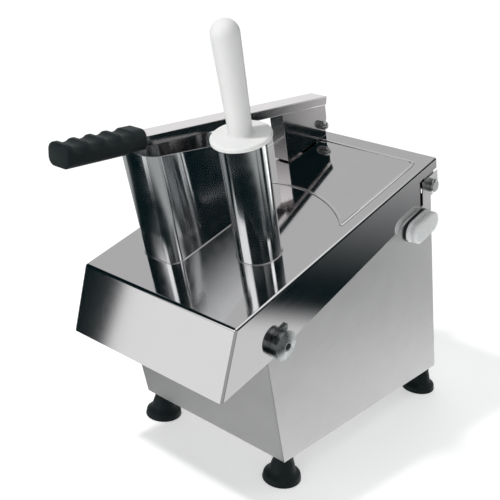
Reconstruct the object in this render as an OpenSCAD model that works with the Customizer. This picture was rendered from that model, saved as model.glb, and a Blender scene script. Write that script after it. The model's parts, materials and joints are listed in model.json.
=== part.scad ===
// Bench-top vegetable cutter: a sloping sheet steel casing with a hinged feed lid, a lever pusher,
// a pestle, and a belt-driven cutting disc.
// Most pieces are drawn on the lid's slope: X across, Y up the slope from the lid's front edge,
// Z square to the lid's top plate, which is Z = 0.

/* [Casing] */
// Slope of the deck and the lid to the floor, in degrees
slope = 18; // [15:0.5:21]
// Width of the lid over its side flanges
lid_w = 250; // [246:1:270]
// Height of the space between the deck and the lid's top plate
deck_drop = 80; // [78:1:92]
// Set-back of the front panel from the lid's front edge
body_front = 41; // [36:1:46]
// Length of the body along the slope
body_len = 365; // [360:1:390]
// Height of the front panel
front_h = 167; // [160:1:200]
// Sheet thickness of the body
body_sheet = 1.2; // [1:0.1:1.6]
// Thickness of the deck plate
deck_t = 2; // [1.5:0.1:3]
// Thickness of the base plate
base_t = 1.5; // [1.2:0.1:2.5]
// Width of the folded edges inside the body
fold_w = 30; // [28:1:36]

/* [Feet] */
// Height of a rubber foot
foot_h = 38; // [34:1:46]
// Radius of a foot where it stands
foot_r = 25.5; // [23:0.5:28]
// Radius of a foot's neck
foot_neck_r = 13; // [12:0.5:15]
// Distance of a foot's centre from the side of the body
foot_side_in = 14.7; // [13.5:0.1:17]
// Distance of a foot's centre from the front or rear of the body
foot_end_in = 17.5; // [16:0.5:22]
// Radius of a foot bolt
foot_bolt_r = 4; // [3:0.5:4.5]

/* [Lid] */
// Sheet thickness of the lid
lid_sheet = 1.2; // [1:0.1:1.6]
// Gap between a lid flange and the side panel inside it
side_gap = 0.4; // [0.3:0.1:0.8]
// Reach of the lid past the rear of the body
lid_overhang = 14; // [12:1:18]
// Forward reach of the hood's lower edge
hood_reach = 42; // [34:1:50]
// Drop of the hood's lower edge
hood_drop = 76; // [68:1:84]
// Depth of a side flange at the front panel
flange_front = 78; // [74:1:82]
// Depth of a side flange at its rear end
flange_rear = 57; // [54:1:62]
// Depth of the strip of flange above the hinge
hinge_strip = 15; // [13:1:17]
// Length of the flange cut away round the hinge
hinge_cut = 44; // [40:1:48]
// Height of the embossed bead
bead_h = 1; // [0.6:0.1:1.4]
// Width of the embossed bead
bead_w = 4; // [3:0.5:6]
// Distance of the embossed bead from the lid's edges
bead_in = 16; // [14:1:24]
// Radius of the bead's front stretch round the disc axis
bead_r = 141; // [136:1:148]

/* [Hinge] */
// Radius of a hinge bolt
hinge_r = 5; // [4:0.5:6]
// Distance of the hinge axis from the lid's rear edge
hinge_in = 14.5; // [13:0.5:16]
// Depth of the hinge axis below the lid's top
hinge_drop = 35.5; // [34:0.5:37]
// Thickness of a hinge lug
hinge_lug_t = 4; // [3:0.5:6]

/* [Feed mouths] */
// Distance of the disc axis from the lid's front edge
disc_s = 127; // [125:0.5:132]
// Outer radius of the large mouth's curved side
mouth_r = 102; // [98:0.5:104]
// Distance of the large mouth's straight side from the middle
mouth_side = 18.4; // [17:0.2:20]
// Distance of the large mouth's front wall from the lid's front edge
mouth_front = 53; // [50:0.5:57]
// Corner radius of the large mouth
mouth_corner = 15; // [12:0.5:18]
// Height of the large mouth's rim over the lid, at the front
mouth_h = 148; // [140:1:156]
// Wall of the mouth and the tube
mouth_wall = 1.5; // [1:0.1:2]
// Depth that the mouth and the tube reach below the lid's top
mouth_depth = 30; // [27:0.5:31]
// Outer radius of the round tube
tube_r = 27.5; // [26:0.5:29]
// Distance of the round tube's axis from the middle
tube_x = 53; // [50:0.5:56]
// Height of the round tube over the lid
tube_h = 153; // [140:1:165]

/* [Pestle] */
// Clearance of the pestle in the round tube
pestle_gap = 0.5; // [0.3:0.1:1]
// Radius of the pestle's flange
pestle_flange_r = 35.5; // [33:0.5:38]
// Thickness of the pestle's flange
pestle_flange_t = 6; // [4:0.5:8]
// Length of the pestle's handle over its flange
pestle_handle = 131.5; // [110:0.5:150]
// Radius of the handle at its foot
handle_foot_r = 13.7; // [12:0.1:15]
// Radius of the handle at its top
handle_top_r = 16; // [15.1:0.1:18]

/* [Lever] */
// Distance of the lever from the middle
lever_x = 63; // [60:0.5:66]
// Distance of the lever's pivot from the lid's rear edge
lever_in = 19; // [18:0.5:22]
// Height of the lever's pivot over the lid
lever_up = 21; // [20.5:0.5:23]
// Radius of the lever's pivot bolt
pivot_r = 4; // [3:0.5:5]
// Length of the lever from its pivot to the end of the grip
lever_len = 462; // [440:1:490]
// Width of the lever bar
bar_w = 28; // [26:0.5:32]
// Height of the lever bar
bar_h = 12.5; // [11:0.5:15]
// Wall of the lever bar and the lever box
bar_wall = 2; // [1.5:0.1:2.5]
// Height of the bar's top over the pivot
bar_rise = 41.5; // [40:0.5:46]
// Gap between the bar and the mouth's rim
bar_gap = 2.5; // [1:0.5:5]
// Length of the lever box along the lid
box_len = 95; // [85:1:105]
// Reach of the box past the pivot
box_back = 13; // [12:0.5:16]
// Gap between the box and the lid
box_gap = 2.5; // [2:0.1:3.5]
// Length of the grip
grip_len = 113; // [105:1:125]
// Width of the grip
grip_w = 36; // [34:0.5:42]
// Height of the grip
grip_h = 27; // [25:0.5:32]
// Corner radius of the grip
grip_corner = 10; // [8:0.5:12]
// Pitch of the finger waves
wave_pitch = 23; // [20:0.5:24]
// Depth of the finger waves
wave_depth = 3; // [1.5:0.1:3.5]
// Thickness of the pusher plate
pusher_t = 14; // [10:0.5:18]

/* [Lid lock] */
// Distance of the lock from the front panel
lock_in = 21.5; // [20:0.5:26]
// Depth of the lock below the lid's top
lock_drop = 64; // [61:0.5:66]
// Radius of the lock stud
lock_stud_r = 4; // [3:0.5:4.5]
// Radius of the lock knob
knob_r = 18.5; // [16:0.5:20]
// Length of the lock knob
knob_len = 13; // [12:0.5:18]
// Reach of the pointed tab from the knob's axis
tab_reach = 24.5; // [23:0.5:28]

/* [Switch] */
// Distance of the switch from the rear of the body
switch_in = 41; // [40:0.5:48]
// Depth of the switch below the lid's top
switch_drop = 77; // [77:0.5:84]
// Radius of a push button
button_r = 9; // [8:0.5:10]
// Spacing of the two push buttons
button_gap = 30; // [28:0.5:32]
// Travel of a push button
button_travel = 4; // [3:0.5:5]
// Height of the clear boot over its plate
boot_h = 16; // [15:0.5:20]

/* [Cutting disc] */
// Radius of the cutting disc
disc_r = 102.5; // [98:0.5:104]
// Thickness of the cutting disc
disc_t = 4; // [3:0.5:5]
// Radius of the disc shaft
shaft_r = 8.5; // [7.5:0.5:9.5]
// Radius of the ejector disc
ejector_r = 96; // [90:0.5:98]
// Inner radius of the chamber band
band_r = 108; // [106:0.5:112]

/* [Drive] */
// Distance of the motor axis from the disc axis
drive_pitch = 173; // [166:0.5:180]
// Radius of the disc pulley at the belt
pulley_r = 75; // [68:0.5:77]
// Radius of the motor pulley at the belt
pinion_r = 15; // [13:0.5:18]
// Width of the belt
belt_w = 14; // [10:0.5:15]
// Thickness of the belt
belt_t = 4.5; // [3:0.5:6]
// Radius of the motor
motor_r = 62; // [58:0.5:64]
// Length of the motor
motor_len = 118; // [110:1:122]
// Radius of the motor shaft
motor_shaft_r = 7; // [5:0.5:8]

/* [Fits] */
// Running clearance of a pin in its hole, on the radius
running = 0.05; // [0.02:0.01:0.1]
// Clearance between pieces that pass each other
clearance = 0.3; // [0.2:0.05:0.5]

/* [Hidden] */
$fn = 64;
// Overshoot of cuts past the faces they open
over = 1;

// Casing
body_rear = body_front + body_len;
lid_len = body_rear + lid_overhang;
body_half = lid_w / 2 - lid_sheet - side_gap;
body_in = body_half - body_sheet;
deck_top = -deck_drop;
deck_under = deck_top - deck_t;
side_top = -flange_rear - 0.6;
floor_len = body_len / cos(slope);
foot_x = body_half - foot_side_in;
foot_ends = [foot_end_in, floor_len - foot_end_in];

// Hinge of the lid
hinge_s = lid_len - hinge_in;
hinge_w = -hinge_drop;
hinge_head_r = hinge_r + 5;
hinge_head_t = 8.5;
hinge_nut_t = 5;
hinge_lug_r = hinge_r + 7;
hinge_lug_out = body_in - side_gap;
hinge_nut_out = hinge_lug_out - hinge_lug_t - side_gap;
hinge_nut_in = hinge_nut_out - hinge_nut_t - 2;
ear_lap = 9.5;
ear_behind = 19.5;
ear_under_strip = 6.5;
ear_drop = 17;
ear_front = lid_len - hinge_cut + ear_lap;
ear_back = hinge_s + ear_behind;
ear_top = -hinge_strip - ear_under_strip;
ear_low = hinge_w - ear_drop;

// Lever
lever_s = lid_len - lever_in;
rim_run = lever_s - mouth_front;
rim_rise = mouth_h - lever_up;
bar_under = bar_rise - bar_h;
lever_tilt = atan2(rim_rise, rim_run) - asin((bar_under - bar_gap) / norm([rim_run, rim_rise]));
rim_y = -rim_run * cos(lever_tilt) - rim_rise * sin(lever_tilt);
rim_top = bar_under - bar_gap + 0.8;
box_w = bar_w - 2 * bar_wall - 0.5;
box_inner = box_w - 2 * bar_wall;
pivot_head_r = pivot_r + 3;
pivot_head_t = 5;
lug_r = pivot_r + 8;
lug_w = box_inner - 2 * clearance;
grip_mid = bar_rise - bar_h / 2 + 2;
mouth_back = 2 * disc_s - mouth_front;
stem_w = box_inner;
stem_len = 30;
pusher_top = -10;
pusher_low = pusher_top - pusher_t;

// Lock
lock_s = body_front + lock_in;
lock_w = -lock_drop;
lock_slot_gap = 1.5;
lock_rise = 16;
lock_behind = 18;
lock_slot_r = lock_stud_r + lock_slot_gap;
lock_top = lock_w + lock_rise;
lock_back = lock_s + lock_behind;
knob_back = lid_w / 2 + clearance;
tab_t = 2.5;
tab_turn = 49;
knob_front = knob_back + knob_len;

// Switch
switch_s = body_rear - switch_in;
switch_w = -switch_drop;
switch_plate_t = 3;
boot_wall = 2;
boot_step = 4;
boot_r = button_r + 2 * clearance + boot_wall + boot_step;
plate_rim = 0.4;
boot_lip = 4.5;
boot_cap = 8;
boot_back = body_half + switch_plate_t;
boot_front = boot_back + boot_h;
button_front = boot_front - boot_wall;

// Disc stack, from the shaft's collar up to the nut
collar_rise = 10;
collar_top = deck_top + collar_rise;
collar_t = 2;
ejector_t = 3;
ejector_rise = 24;
ejector_top = collar_top + ejector_rise;
disc_hub_t = 6;
disc_low = ejector_top + disc_hub_t;
disc_top = disc_low + disc_t;
blade_t = 1.5;
blade_lift = 1;
pin_r = 2.5;
pin_w = ejector_top - 4;
nut_r = 13;
nut_t = 14;
hub_r = 18;

// Bearings and drive, below the deck
bearing_r = 20;
bearing_t = 12;
spigot_r = bearing_r + 6;
housing_r = bearing_r + 8;
housing_flange_r = housing_r + 17;
housing_flange_t = 6;
housing_len = 56;
housing_low = deck_under - housing_len;
seal_t = 7;
hex_bolt_r = 3;
hex_head_t = 4;
hex_head_r = 5.5;
housing_bolt_pitch = housing_r + 9;
pulley_rim = 3.5;
pulley_edge = 2;
belt_w0 = housing_low - 17;
belt_mid = belt_w0 - belt_w / 2 - 1;
pulley_half = belt_w / 2 + 1;
pulley_top = belt_mid + pulley_half + pulley_edge;
pulley_low = belt_mid - pulley_half - pulley_edge;
hub_rise = 4;
motor_s = disc_s + drive_pitch;
bracket_t = 4;
bracket_top = pulley_low - 9;
bracket_low = bracket_top - bracket_t;
bracket_half = motor_r + 12;
bracket_run = 55;
bracket_foot = 18;
motor_wall = 5;
motor_bell_t = 10;
motor_low = bracket_low - motor_len;
motor_bolt_pitch = motor_r - 17;
rotor_r = motor_r - motor_wall - 17.5;
air_gap = 0.5;

// The switch block reaches in as far as the motor bracket's foot
block_in = bracket_half + bracket_foot + 4.4;
button_back = block_in + 2 + button_travel + 4;

// Reach of the whole machine, which puts the origin under its middle on the floor
lid_front_y = -body_front * cos(slope) - (deck_drop + front_h) * sin(slope);
lid_front_z = foot_h - body_front * sin(slope) + (deck_drop + front_h) * cos(slope);
lever_level = slope - lever_tilt;
grip_top = grip_mid + grip_h / 2;
grip_low = grip_mid - grip_h / 2;
pivot_y = lid_front_y + lever_s * cos(slope) - lever_up * sin(slope);
reach_front = pivot_y - lever_len * cos(lever_level)
    - max(grip_top * sin(lever_level), grip_low * sin(lever_level));
reach_back = max(foot_ends[1] + foot_r, floor_len);
reach_left = -foot_x - foot_r;
reach_right = max(boot_front, knob_front, foot_x + foot_r);
origin_x = -(reach_left + reach_right) / 2;
origin_y = -(reach_front + reach_back) / 2;

// Height of the body's lower edge, on the slope's axes
function floor_w(s) = -(deck_drop + front_h) - (s - body_front) * tan(slope);

// Height of a level plane, a rise above the body's lower edge
function level_w(s, rise) = floor_w(s) + rise / cos(slope);

// Depth of a lid flange's lower edge
function flange_depth(s) = flange_front
    - (flange_front - flange_rear) * (s - body_front) / (lid_len - hinge_cut - body_front);

// Height of the lever bar's underside over the lid
function bar_under_w(s) = lever_up + (bar_under - (s - lever_s) * sin(lever_tilt)) / cos(lever_tilt);

module on_floor() translate([origin_x, origin_y, 0]) children();

module on_slope()
    translate([origin_x, origin_y + lid_front_y, lid_front_z]) rotate([slope, 0, 0]) children();

// The lever's own axes: Y along the bar, Z up, from the middle of the pivot
module lever_axes() translate([-lever_x, lever_s, lever_up]) rotate([-lever_tilt, 0, 0]) children();

// A profile of the slope's side view, drawn out across the machine
module across(x0, x1)
    translate([x0, 0, 0]) rotate([90, 0, 90]) linear_extrude(height = x1 - x0) children();

// A round bar across the machine
module cross_rod(r, x0, x1) translate([x0, 0, 0]) rotate([0, 90, 0]) cylinder(r = r, h = x1 - x0);

// A ring or a disc square to the slope
module ring(r, inner, low, high) translate([0, 0, low]) difference() {
    cylinder(r = r, h = high - low);
    if (inner > 0) translate([0, 0, -over]) cylinder(r = inner, h = high - low + 2 * over);
}

module rounded(x0, y0, x1, y1, r) {
    translate([x0 + r, y0]) square([x1 - x0 - 2 * r, y1 - y0]);
    translate([x0, y0 + r]) square([x1 - x0, y1 - y0 - 2 * r]);
    for (x = [x0 + r, x1 - r], y = [y0 + r, y1 - r]) translate([x, y]) circle(r = r);
}

// Two round ends joined by straight sides, along Y
module racetrack(r, length) {
    square([2 * r, length], center = true);
    for (end = [-1, 1]) translate([0, end * length / 2]) circle(r = r);
}

module at_disc() translate([0, disc_s, 0]) children();

module at_motor() translate([0, motor_s, 0]) children();

module at_buttons() for (end = [-1, 1])
    translate([0, switch_s + end * button_gap / 2, switch_w]) children();

module hinge_axis() translate([0, hinge_s, hinge_w]) children();

module lock_axis() translate([0, lock_s, lock_w]) children();

// A slab that lies level, between two lines across the slope
module level_slab(x0, x1, s0, s1, low, high) across(x0, x1)
    polygon([[s0, level_w(s0, low)], [s1, level_w(s1, low)],
             [s1, level_w(s1, high)], [s0, level_w(s0, high)]]);

// Outline of the large mouth, a wall's thickness in from its outside
module mouth_outline(inset) intersection() {
    translate([0, disc_s]) circle(r = mouth_r - inset, $fn = 128);
    rounded(-mouth_r - 2 * mouth_corner, mouth_front + inset,
            -mouth_side - inset, mouth_back - inset, mouth_corner - inset);
}

// Everything over the level plane of the large mouth's rim
module above_rim() translate([-lid_w, mouth_front, mouth_h]) rotate([-slope, 0, 0])
    translate([0, -lid_len, 0]) cube([2 * lid_w, 3 * lid_len, lid_len]);

// Side view of a side panel: a rise at the front for the lock, and an ear at the rear for the hinge
module side_outline() polygon([
    [body_front, floor_w(body_front)], [body_front, lock_top], [lock_back, lock_top],
    [lock_back + 16, side_top], [ear_front, side_top],
    [ear_front, ear_top], [ear_back, ear_top], [ear_back, ear_low],
    [body_rear, ear_low], [body_rear, floor_w(body_rear)]
]);

// The right side panel without its holes: wall, ledge under the deck and folded edges
module side_sheet() {
    across(body_in, body_half) side_outline();
    ledge_w = fold_w / 3;
    inner_front = body_front + body_sheet;
    inner_rear = body_rear - body_sheet;
    translate([body_in - ledge_w, inner_front, deck_under - body_sheet])
        cube([ledge_w, body_len - 3 * body_sheet, body_sheet]);
    level_slab(body_in - fold_w, body_in, inner_front, inner_rear, base_t, base_t + body_sheet);
    rear_fold_top = deck_under - fold_w;
    rear_fold_low = level_w(inner_rear, fold_w);
    translate([body_in - fold_w / 2, inner_rear - body_sheet, rear_fold_low])
        cube([fold_w / 2, body_sheet, rear_fold_top - rear_fold_low]);
}

module foot_holes() on_foot_spots()
    translate([0, 0, foot_h - over]) cylinder(r = foot_bolt_r + running, h = 4 * over + 2 * base_t);

module on_foot_spots() for (side = [-1, 1], y = foot_ends) translate([side * foot_x, y, 0]) children();

module panel_screw_spots() for (side = [-1, 1], w = [deck_under - 2 * fold_w, level_w(body_rear, 2 * fold_w)])
    translate([side * (body_in - fold_w / 4), body_rear, w]) rotate([-90, 0, 0]) children();

panel_screw_r = 2;

module panel_screw_holes() panel_screw_spots()
    translate([0, 0, -3 * body_sheet]) cylinder(r = panel_screw_r, h = 4 * body_sheet);

module left_side_panel() color("gainsboro") difference() {
    on_slope() difference() {
        mirror([1, 0, 0]) side_sheet();
        hinge_axis() cross_rod(hinge_r, -body_half - over, -body_in + over);
        panel_screw_holes();
    }
    on_floor() foot_holes();
}

module right_side_panel() color("gainsboro") difference() {
    on_slope() difference() {
        side_sheet();
        hinge_axis() cross_rod(hinge_r, body_in - over, body_half + over);
        lock_axis() cross_rod(lock_stud_r, body_in - over, body_half + over);
        at_buttons() cross_rod(button_r + clearance, body_in - over, body_half + over);
        deck_notch();
        panel_screw_holes();
    }
    on_floor() foot_holes();
}

module front_panel() color("silver") on_slope()
    across(-body_in, body_in) polygon([
        [body_front, floor_w(body_front)], [body_front, deck_top],
        [body_front + body_sheet, deck_top],
        [body_front + body_sheet, floor_w(body_front + body_sheet)]
    ]);

// Room for the switch block at the edge of the deck
module deck_notch() {
    run = button_gap + 2 * button_r + 14;
    translate([block_in - 2, switch_s - run / 2, deck_under - 2 * body_sheet - over])
        cube([body_in - block_in + 2, run, deck_t + 2 * body_sheet + 2 * over]);
}

module housing_bolt_spots() at_disc() for (turn = [45:90:315])
    rotate(turn) translate([housing_bolt_pitch, 0, 0]) children();

module bracket_bolt_spots() at_motor() for (side = [-1, 1], end = [-1, 1])
    translate([side * (bracket_half + bracket_foot / 2), end * (bracket_run - 10), 0]) children();

module motor_bolt_spots() at_motor() for (turn = [45:90:315])
    rotate(turn) translate([motor_bolt_pitch, 0, 0]) children();

module deck_plate() color("silver") on_slope() difference() {
    translate([-body_in, body_front + body_sheet, deck_under])
        cube([2 * body_in, body_len - 2 * body_sheet, deck_t]);
    at_disc() translate([0, 0, deck_under - over]) cylinder(r = spigot_r, h = deck_t + 2 * over);
    for (spot = [0, 1]) bolt_holes(spot, hex_bolt_r, deck_under - over, deck_top + over);
    deck_notch();
}

// Holes for the bolts of the bearing housing, the motor bracket or the motor
module bolt_holes(group, r, low, high) {
    if (group == 0) housing_bolt_spots() translate([0, 0, low]) cylinder(r = r, h = high - low);
    if (group == 1) bracket_bolt_spots() translate([0, 0, low]) cylinder(r = r, h = high - low);
    if (group == 2) motor_bolt_spots() translate([0, 0, low]) cylinder(r = r, h = high - low);
}

gland_bore_r = 4;
gland_thread_r = 8;
gland_x = -60;
gland_w = -(deck_drop + front_h);
gland_body = 8;
gland_cap = 12;

module gland_axis() translate([gland_x, body_rear, gland_w]) rotate([-90, 0, 0]) children();

vent_len = 70;
vent_h = 4;
vent_pitch = 12;
vent_count = 6;
vent_x = 50;
vent_drop = 50;

// The rear panel, with an upstand between the hinge bolts that closes the space over the deck
module rear_panel() color("silver") on_slope() difference() {
    union() {
        across(-body_in, body_in) polygon([
            [body_rear - body_sheet, floor_w(body_rear - body_sheet)], [body_rear - body_sheet, ear_low],
            [body_rear, ear_low], [body_rear, floor_w(body_rear)]
        ]);
        upstand = hinge_nut_in - 2;
        translate([-upstand, body_rear - body_sheet, ear_low - over])
            cube([2 * upstand, body_sheet, -lid_sheet - 4 - ear_low + over]);
    }
    for (side = [-1, 1], row = [0:vent_count - 1])
        translate([side * vent_x - vent_len / 2, body_rear - 2 * body_sheet, 0])
            translate([0, 0, deck_under - vent_drop - row * vent_pitch])
                cube([vent_len, 3 * body_sheet, vent_h]);
    gland_axis() translate([0, 0, -2 * body_sheet]) cylinder(r = gland_thread_r, h = 3 * body_sheet);
    panel_screw_holes();
}

module rear_panel_screws() color("silver") on_slope() panel_screw_spots() {
    translate([0, 0, -2 * body_sheet]) cylinder(r = panel_screw_r, h = 2 * body_sheet);
    cylinder(r1 = 2 * panel_screw_r, r2 = 1.6 * panel_screw_r, h = panel_screw_r);
}

module base_plate() color("silver") difference() {
    on_slope() level_slab(-body_in, body_in, body_front + body_sheet, body_rear - body_sheet, 0, base_t);
    on_floor() {
        foot_holes();
        for (row = [-2:2]) translate([-vent_len / 2, floor_len / 2 + row * vent_pitch, foot_h - over])
            cube([vent_len, vent_h, base_t + 2 * over]);
    }
}

foot_rim = 9;
foot_step = 5;
foot_washer_r = 2.25 * foot_bolt_r;

module rubber_feet() color("dimgray") on_floor() on_foot_spots() difference() {
    rotate_extrude() polygon([
        [0, 0], [foot_r - 1, 0], [foot_r, 1], [foot_r - 1.5, foot_rim], [foot_r - 7, foot_rim + foot_step],
        [foot_neck_r + 1, foot_h - 12], [foot_neck_r, foot_h - 8], [foot_neck_r, foot_h], [0, foot_h]
    ]);
    translate([0, 0, -over]) cylinder(r = foot_washer_r, h = foot_rim + over);
    cylinder(r = foot_bolt_r + running, h = foot_h + over);
}

foot_nut_t = 6.5;

module foot_bolts() color("silver") on_floor() on_foot_spots() {
    nut_low = foot_h + base_t + body_sheet;
    bolt_top = nut_low + foot_nut_t + 2;
    translate([0, 0, foot_rim - 4]) cylinder(r = foot_washer_r - running, h = 4);
    translate([0, 0, foot_rim - over]) cylinder(r = foot_bolt_r, h = bolt_top - foot_rim + over);
    translate([0, 0, nut_low]) cylinder(r = 1.8 * foot_bolt_r, h = foot_nut_t, $fn = 6);
}

band_open = 120;

module chamber_band() color("silver") on_slope() at_disc()
    translate([0, 0, deck_top]) rotate(-90 + band_open / 2) rotate_extrude(angle = 360 - band_open, $fn = 128)
        translate([band_r, 0]) square([body_sheet, deck_drop - lid_sheet - clearance]);

module bearing_housing() color("slategray") on_slope() difference() {
    at_disc() rotate_extrude() polygon([
        [bearing_r, deck_top + 2], [spigot_r, deck_top + 2], [spigot_r, deck_under],
        [housing_flange_r, deck_under], [housing_flange_r, deck_under - housing_flange_t],
        [housing_r, deck_under - housing_flange_t], [housing_r, housing_low], [bearing_r, housing_low],
        [bearing_r, housing_low + bearing_t], [bearing_r - 3, housing_low + bearing_t],
        [bearing_r - 3, deck_top + 2 - seal_t - bearing_t], [bearing_r, deck_top + 2 - seal_t - bearing_t]
    ]);
    bolt_holes(0, hex_bolt_r, deck_under - housing_flange_t - over, deck_top);
}

module hex_bolt(low, high) {
    translate([0, 0, low]) cylinder(r = hex_bolt_r, h = high - low);
    translate([0, 0, low - hex_head_t]) cylinder(r = hex_head_r, h = hex_head_t, $fn = 6);
}

module hex_bolts() color("silver") on_slope() {
    housing_bolt_spots() hex_bolt(deck_under - housing_flange_t, deck_top);
    bracket_bolt_spots() hex_bolt(deck_under - bracket_t, deck_top);
    motor_bolt_spots() mirror([0, 0, 1]) hex_bolt(-bracket_top, -bracket_low + motor_bell_t - 2);
}

module upper_bearing() color("darkgray") on_slope() at_disc()
    ring(bearing_r, shaft_r + running, deck_top + 2 - seal_t - bearing_t, deck_top + 2 - seal_t);

module lower_bearing() color("darkgray") on_slope() at_disc()
    ring(bearing_r, shaft_r + running, housing_low, housing_low + bearing_t);

module shaft_seal() color("black") on_slope() at_disc()
    ring(bearing_r, shaft_r + running, deck_top + 2 - seal_t, deck_top + 1);

module motor_bracket() color("lightsteelblue") on_slope() difference() {
    at_motor() {
        translate([-bracket_half, -bracket_run, bracket_low])
            cube([2 * bracket_half, 2 * bracket_run, bracket_t]);
        for (side = [0, 1]) mirror([side, 0, 0]) {
            translate([bracket_half - bracket_t, -bracket_run, bracket_low])
                cube([bracket_t, 2 * bracket_run, deck_under - bracket_low]);
            translate([bracket_half - bracket_t, -bracket_run, deck_under - bracket_t])
                cube([bracket_foot + bracket_t, 2 * bracket_run, bracket_t]);
        }
    }
    at_motor() translate([0, 0, bracket_low - over])
        cylinder(r = pinion_r + pulley_rim + 4, h = bracket_t + 2 * over);
    bolt_holes(1, hex_bolt_r, deck_under - bracket_t - over, deck_top);
    bolt_holes(2, hex_bolt_r, bracket_low - over, bracket_top + over);
}

module motor_housing() color("steelblue") on_slope() difference() {
    at_motor() difference() {
        ring(motor_r, motor_shaft_r + running, motor_low + motor_bell_t, bracket_low);
        ring(motor_r - motor_wall, 0, motor_low + motor_bell_t - over, bracket_low - motor_bell_t);
    }
    bolt_holes(2, hex_bolt_r, bracket_low - motor_bell_t + 2, bracket_low + over);
}

stator_low = motor_low + motor_bell_t + 12;
stator_high = bracket_low - motor_bell_t - 12;

module motor_stator() color("sienna") on_slope() at_motor()
    ring(motor_r - motor_wall, rotor_r + air_gap, stator_low, stator_high);

module motor_end_bell() color("steelblue") on_slope() at_motor() difference() {
    ring(motor_r, 0, motor_low, motor_low + motor_bell_t);
    ring(motor_shaft_r + running, 0, motor_low + 4, motor_low + motor_bell_t + over);
}

module motor_rotor() color("dimgray") on_slope() at_motor()
    ring(rotor_r, motor_shaft_r, stator_low + 2, stator_high - 2);

module motor_shaft() color("silver") on_slope() at_motor()
    ring(motor_shaft_r, 0, motor_low + 5, pulley_top + 1);

// A flanged belt pulley with a hub that runs from low to high
module pulley(r, bore, boss_r, low, high) difference() {
    union() {
        ring(r, 0, belt_mid - pulley_half, belt_mid + pulley_half);
        for (w = [pulley_low, pulley_top - pulley_edge]) ring(r + pulley_rim, 0, w, w + pulley_edge);
        ring(boss_r, 0, low, high);
    }
    ring(bore, 0, low - over, high + over);
}

module motor_pulley() color("gray") on_slope() at_motor()
    pulley(pinion_r, motor_shaft_r, pinion_r - 2, pulley_low, pulley_top);

web_t = 6;
pulley_holes = 5;

module disc_pulley() color("gray") on_slope() at_disc() difference() {
    pulley(pulley_r, shaft_r, hub_r, pulley_low, pulley_top + hub_rise);
    for (w = [belt_mid + web_t / 2, pulley_low - over])
        ring(pulley_r - 8, hub_r, w, w + pulley_half + pulley_edge - web_t / 2 + over);
    for (turn = [0:360 / pulley_holes:359]) rotate(turn) translate([(pulley_r - 8 + hub_r) / 2, 0, 0])
        ring(hub_r * 0.7, 0, pulley_low, pulley_top);
}

belt_lean = asin((pulley_r - pinion_r) / drive_pitch);

// Both pulleys and the straight runs between them, grown all round
module belt_outline(grow) {
    big = pulley_r + grow;
    small = pinion_r + grow;
    circle(r = big, $fn = 128);
    translate([0, drive_pitch]) circle(r = small);
    polygon([
        big * [cos(belt_lean), sin(belt_lean)], [0, drive_pitch] + small * [cos(belt_lean), sin(belt_lean)],
        [0, drive_pitch] + small * [-cos(belt_lean), sin(belt_lean)], big * [-cos(belt_lean), sin(belt_lean)]
    ]);
}

module drive_belt() color("black") on_slope() at_disc() translate([0, 0, belt_mid - belt_w / 2])
    linear_extrude(height = belt_w) difference() {
        belt_outline(clearance + belt_t);
        belt_outline(clearance);
    }

stud_r = shaft_r - 2.5;

module disc_shaft() color("silver") on_slope() at_disc() difference() {
    union() {
        ring(shaft_r, 0, pulley_low - 5, disc_top - 1);
        ring(stud_r, 0, pulley_low - 5, disc_top + nut_t - 3);
        ring(shaft_r + 3, 0, collar_top - collar_t, collar_top);
    }
    translate([0, 0, pin_w]) cross_rod(pin_r, -hub_r, hub_r);
}

module shaft_circlip() color("dimgray") on_slope() at_disc()
    ring(shaft_r + 4, shaft_r, pulley_low - 2, pulley_low);

module drive_pin() color("silver") on_slope() at_disc()
    translate([0, 0, pin_w]) cross_rod(pin_r, -hub_r + 2, hub_r - 2);

paddle_t = 3;
paddle_count = 3;

module ejector_disc() color("white") on_slope() at_disc() difference() {
    union() {
        ring(ejector_r, 0, collar_top, collar_top + ejector_t);
        ring(hub_r, 0, collar_top, ejector_top);
        for (turn = [0:360 / paddle_count:359]) rotate(turn)
            translate([hub_r - 2, -paddle_t / 2, collar_top])
                cube([ejector_r - hub_r - 2, paddle_t, ejector_top - collar_top - 2]);
    }
    ring(shaft_r, 0, collar_top - over, ejector_top + over);
    translate([-hub_r - over, -pin_r, pin_w - pin_r])
        cube([2 * hub_r + 2 * over, 2 * pin_r, ejector_top - pin_w + pin_r + over]);
}

blade_from = 22;
blade_to = disc_r - 6;
slot_run = 12;
blade_run = 20;

module cutting_disc() color("gainsboro") on_slope() at_disc() difference() {
    union() {
        ring(disc_r, 0, disc_low, disc_top);
        ring(hub_r + 2, 0, ejector_top, disc_low);
    }
    ring(shaft_r, 0, ejector_top - over, disc_top + over);
    translate([blade_from, -slot_run, disc_low - over]) cube([blade_to - blade_from, slot_run, disc_t + 2 * over]);
    blade_screw_spots() ring(blade_screw_r, 0, disc_low - over, disc_top + over);
}

blade_screw_r = 2;

module blade_screw_spots() for (part = [0.2, 0.5, 0.8])
    translate([blade_from + part * (blade_to - blade_from), blade_run / 2 + 1, 0]) children();

// The blade lies on the disc and its edge hangs over the slot
module cutting_blade() color("silver") on_slope() at_disc() difference() {
    translate([blade_from + 1, 0, disc_top]) across(0, blade_to - blade_from - 2) polygon([
        [-slot_run / 3, blade_t * 0.8], [0, 0], [blade_run, 0], [blade_run, blade_t], [0, blade_t]
    ]);
    blade_screw_spots() ring(blade_screw_r, 0, disc_low, disc_top + 2 * blade_t);
}

module blade_screws() color("dimgray") on_slope() at_disc() blade_screw_spots() {
    ring(blade_screw_r, 0, disc_low, disc_top + blade_t);
    ring(2 * blade_screw_r, 0, disc_top + blade_t, disc_top + blade_t + 1);
}

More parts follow.
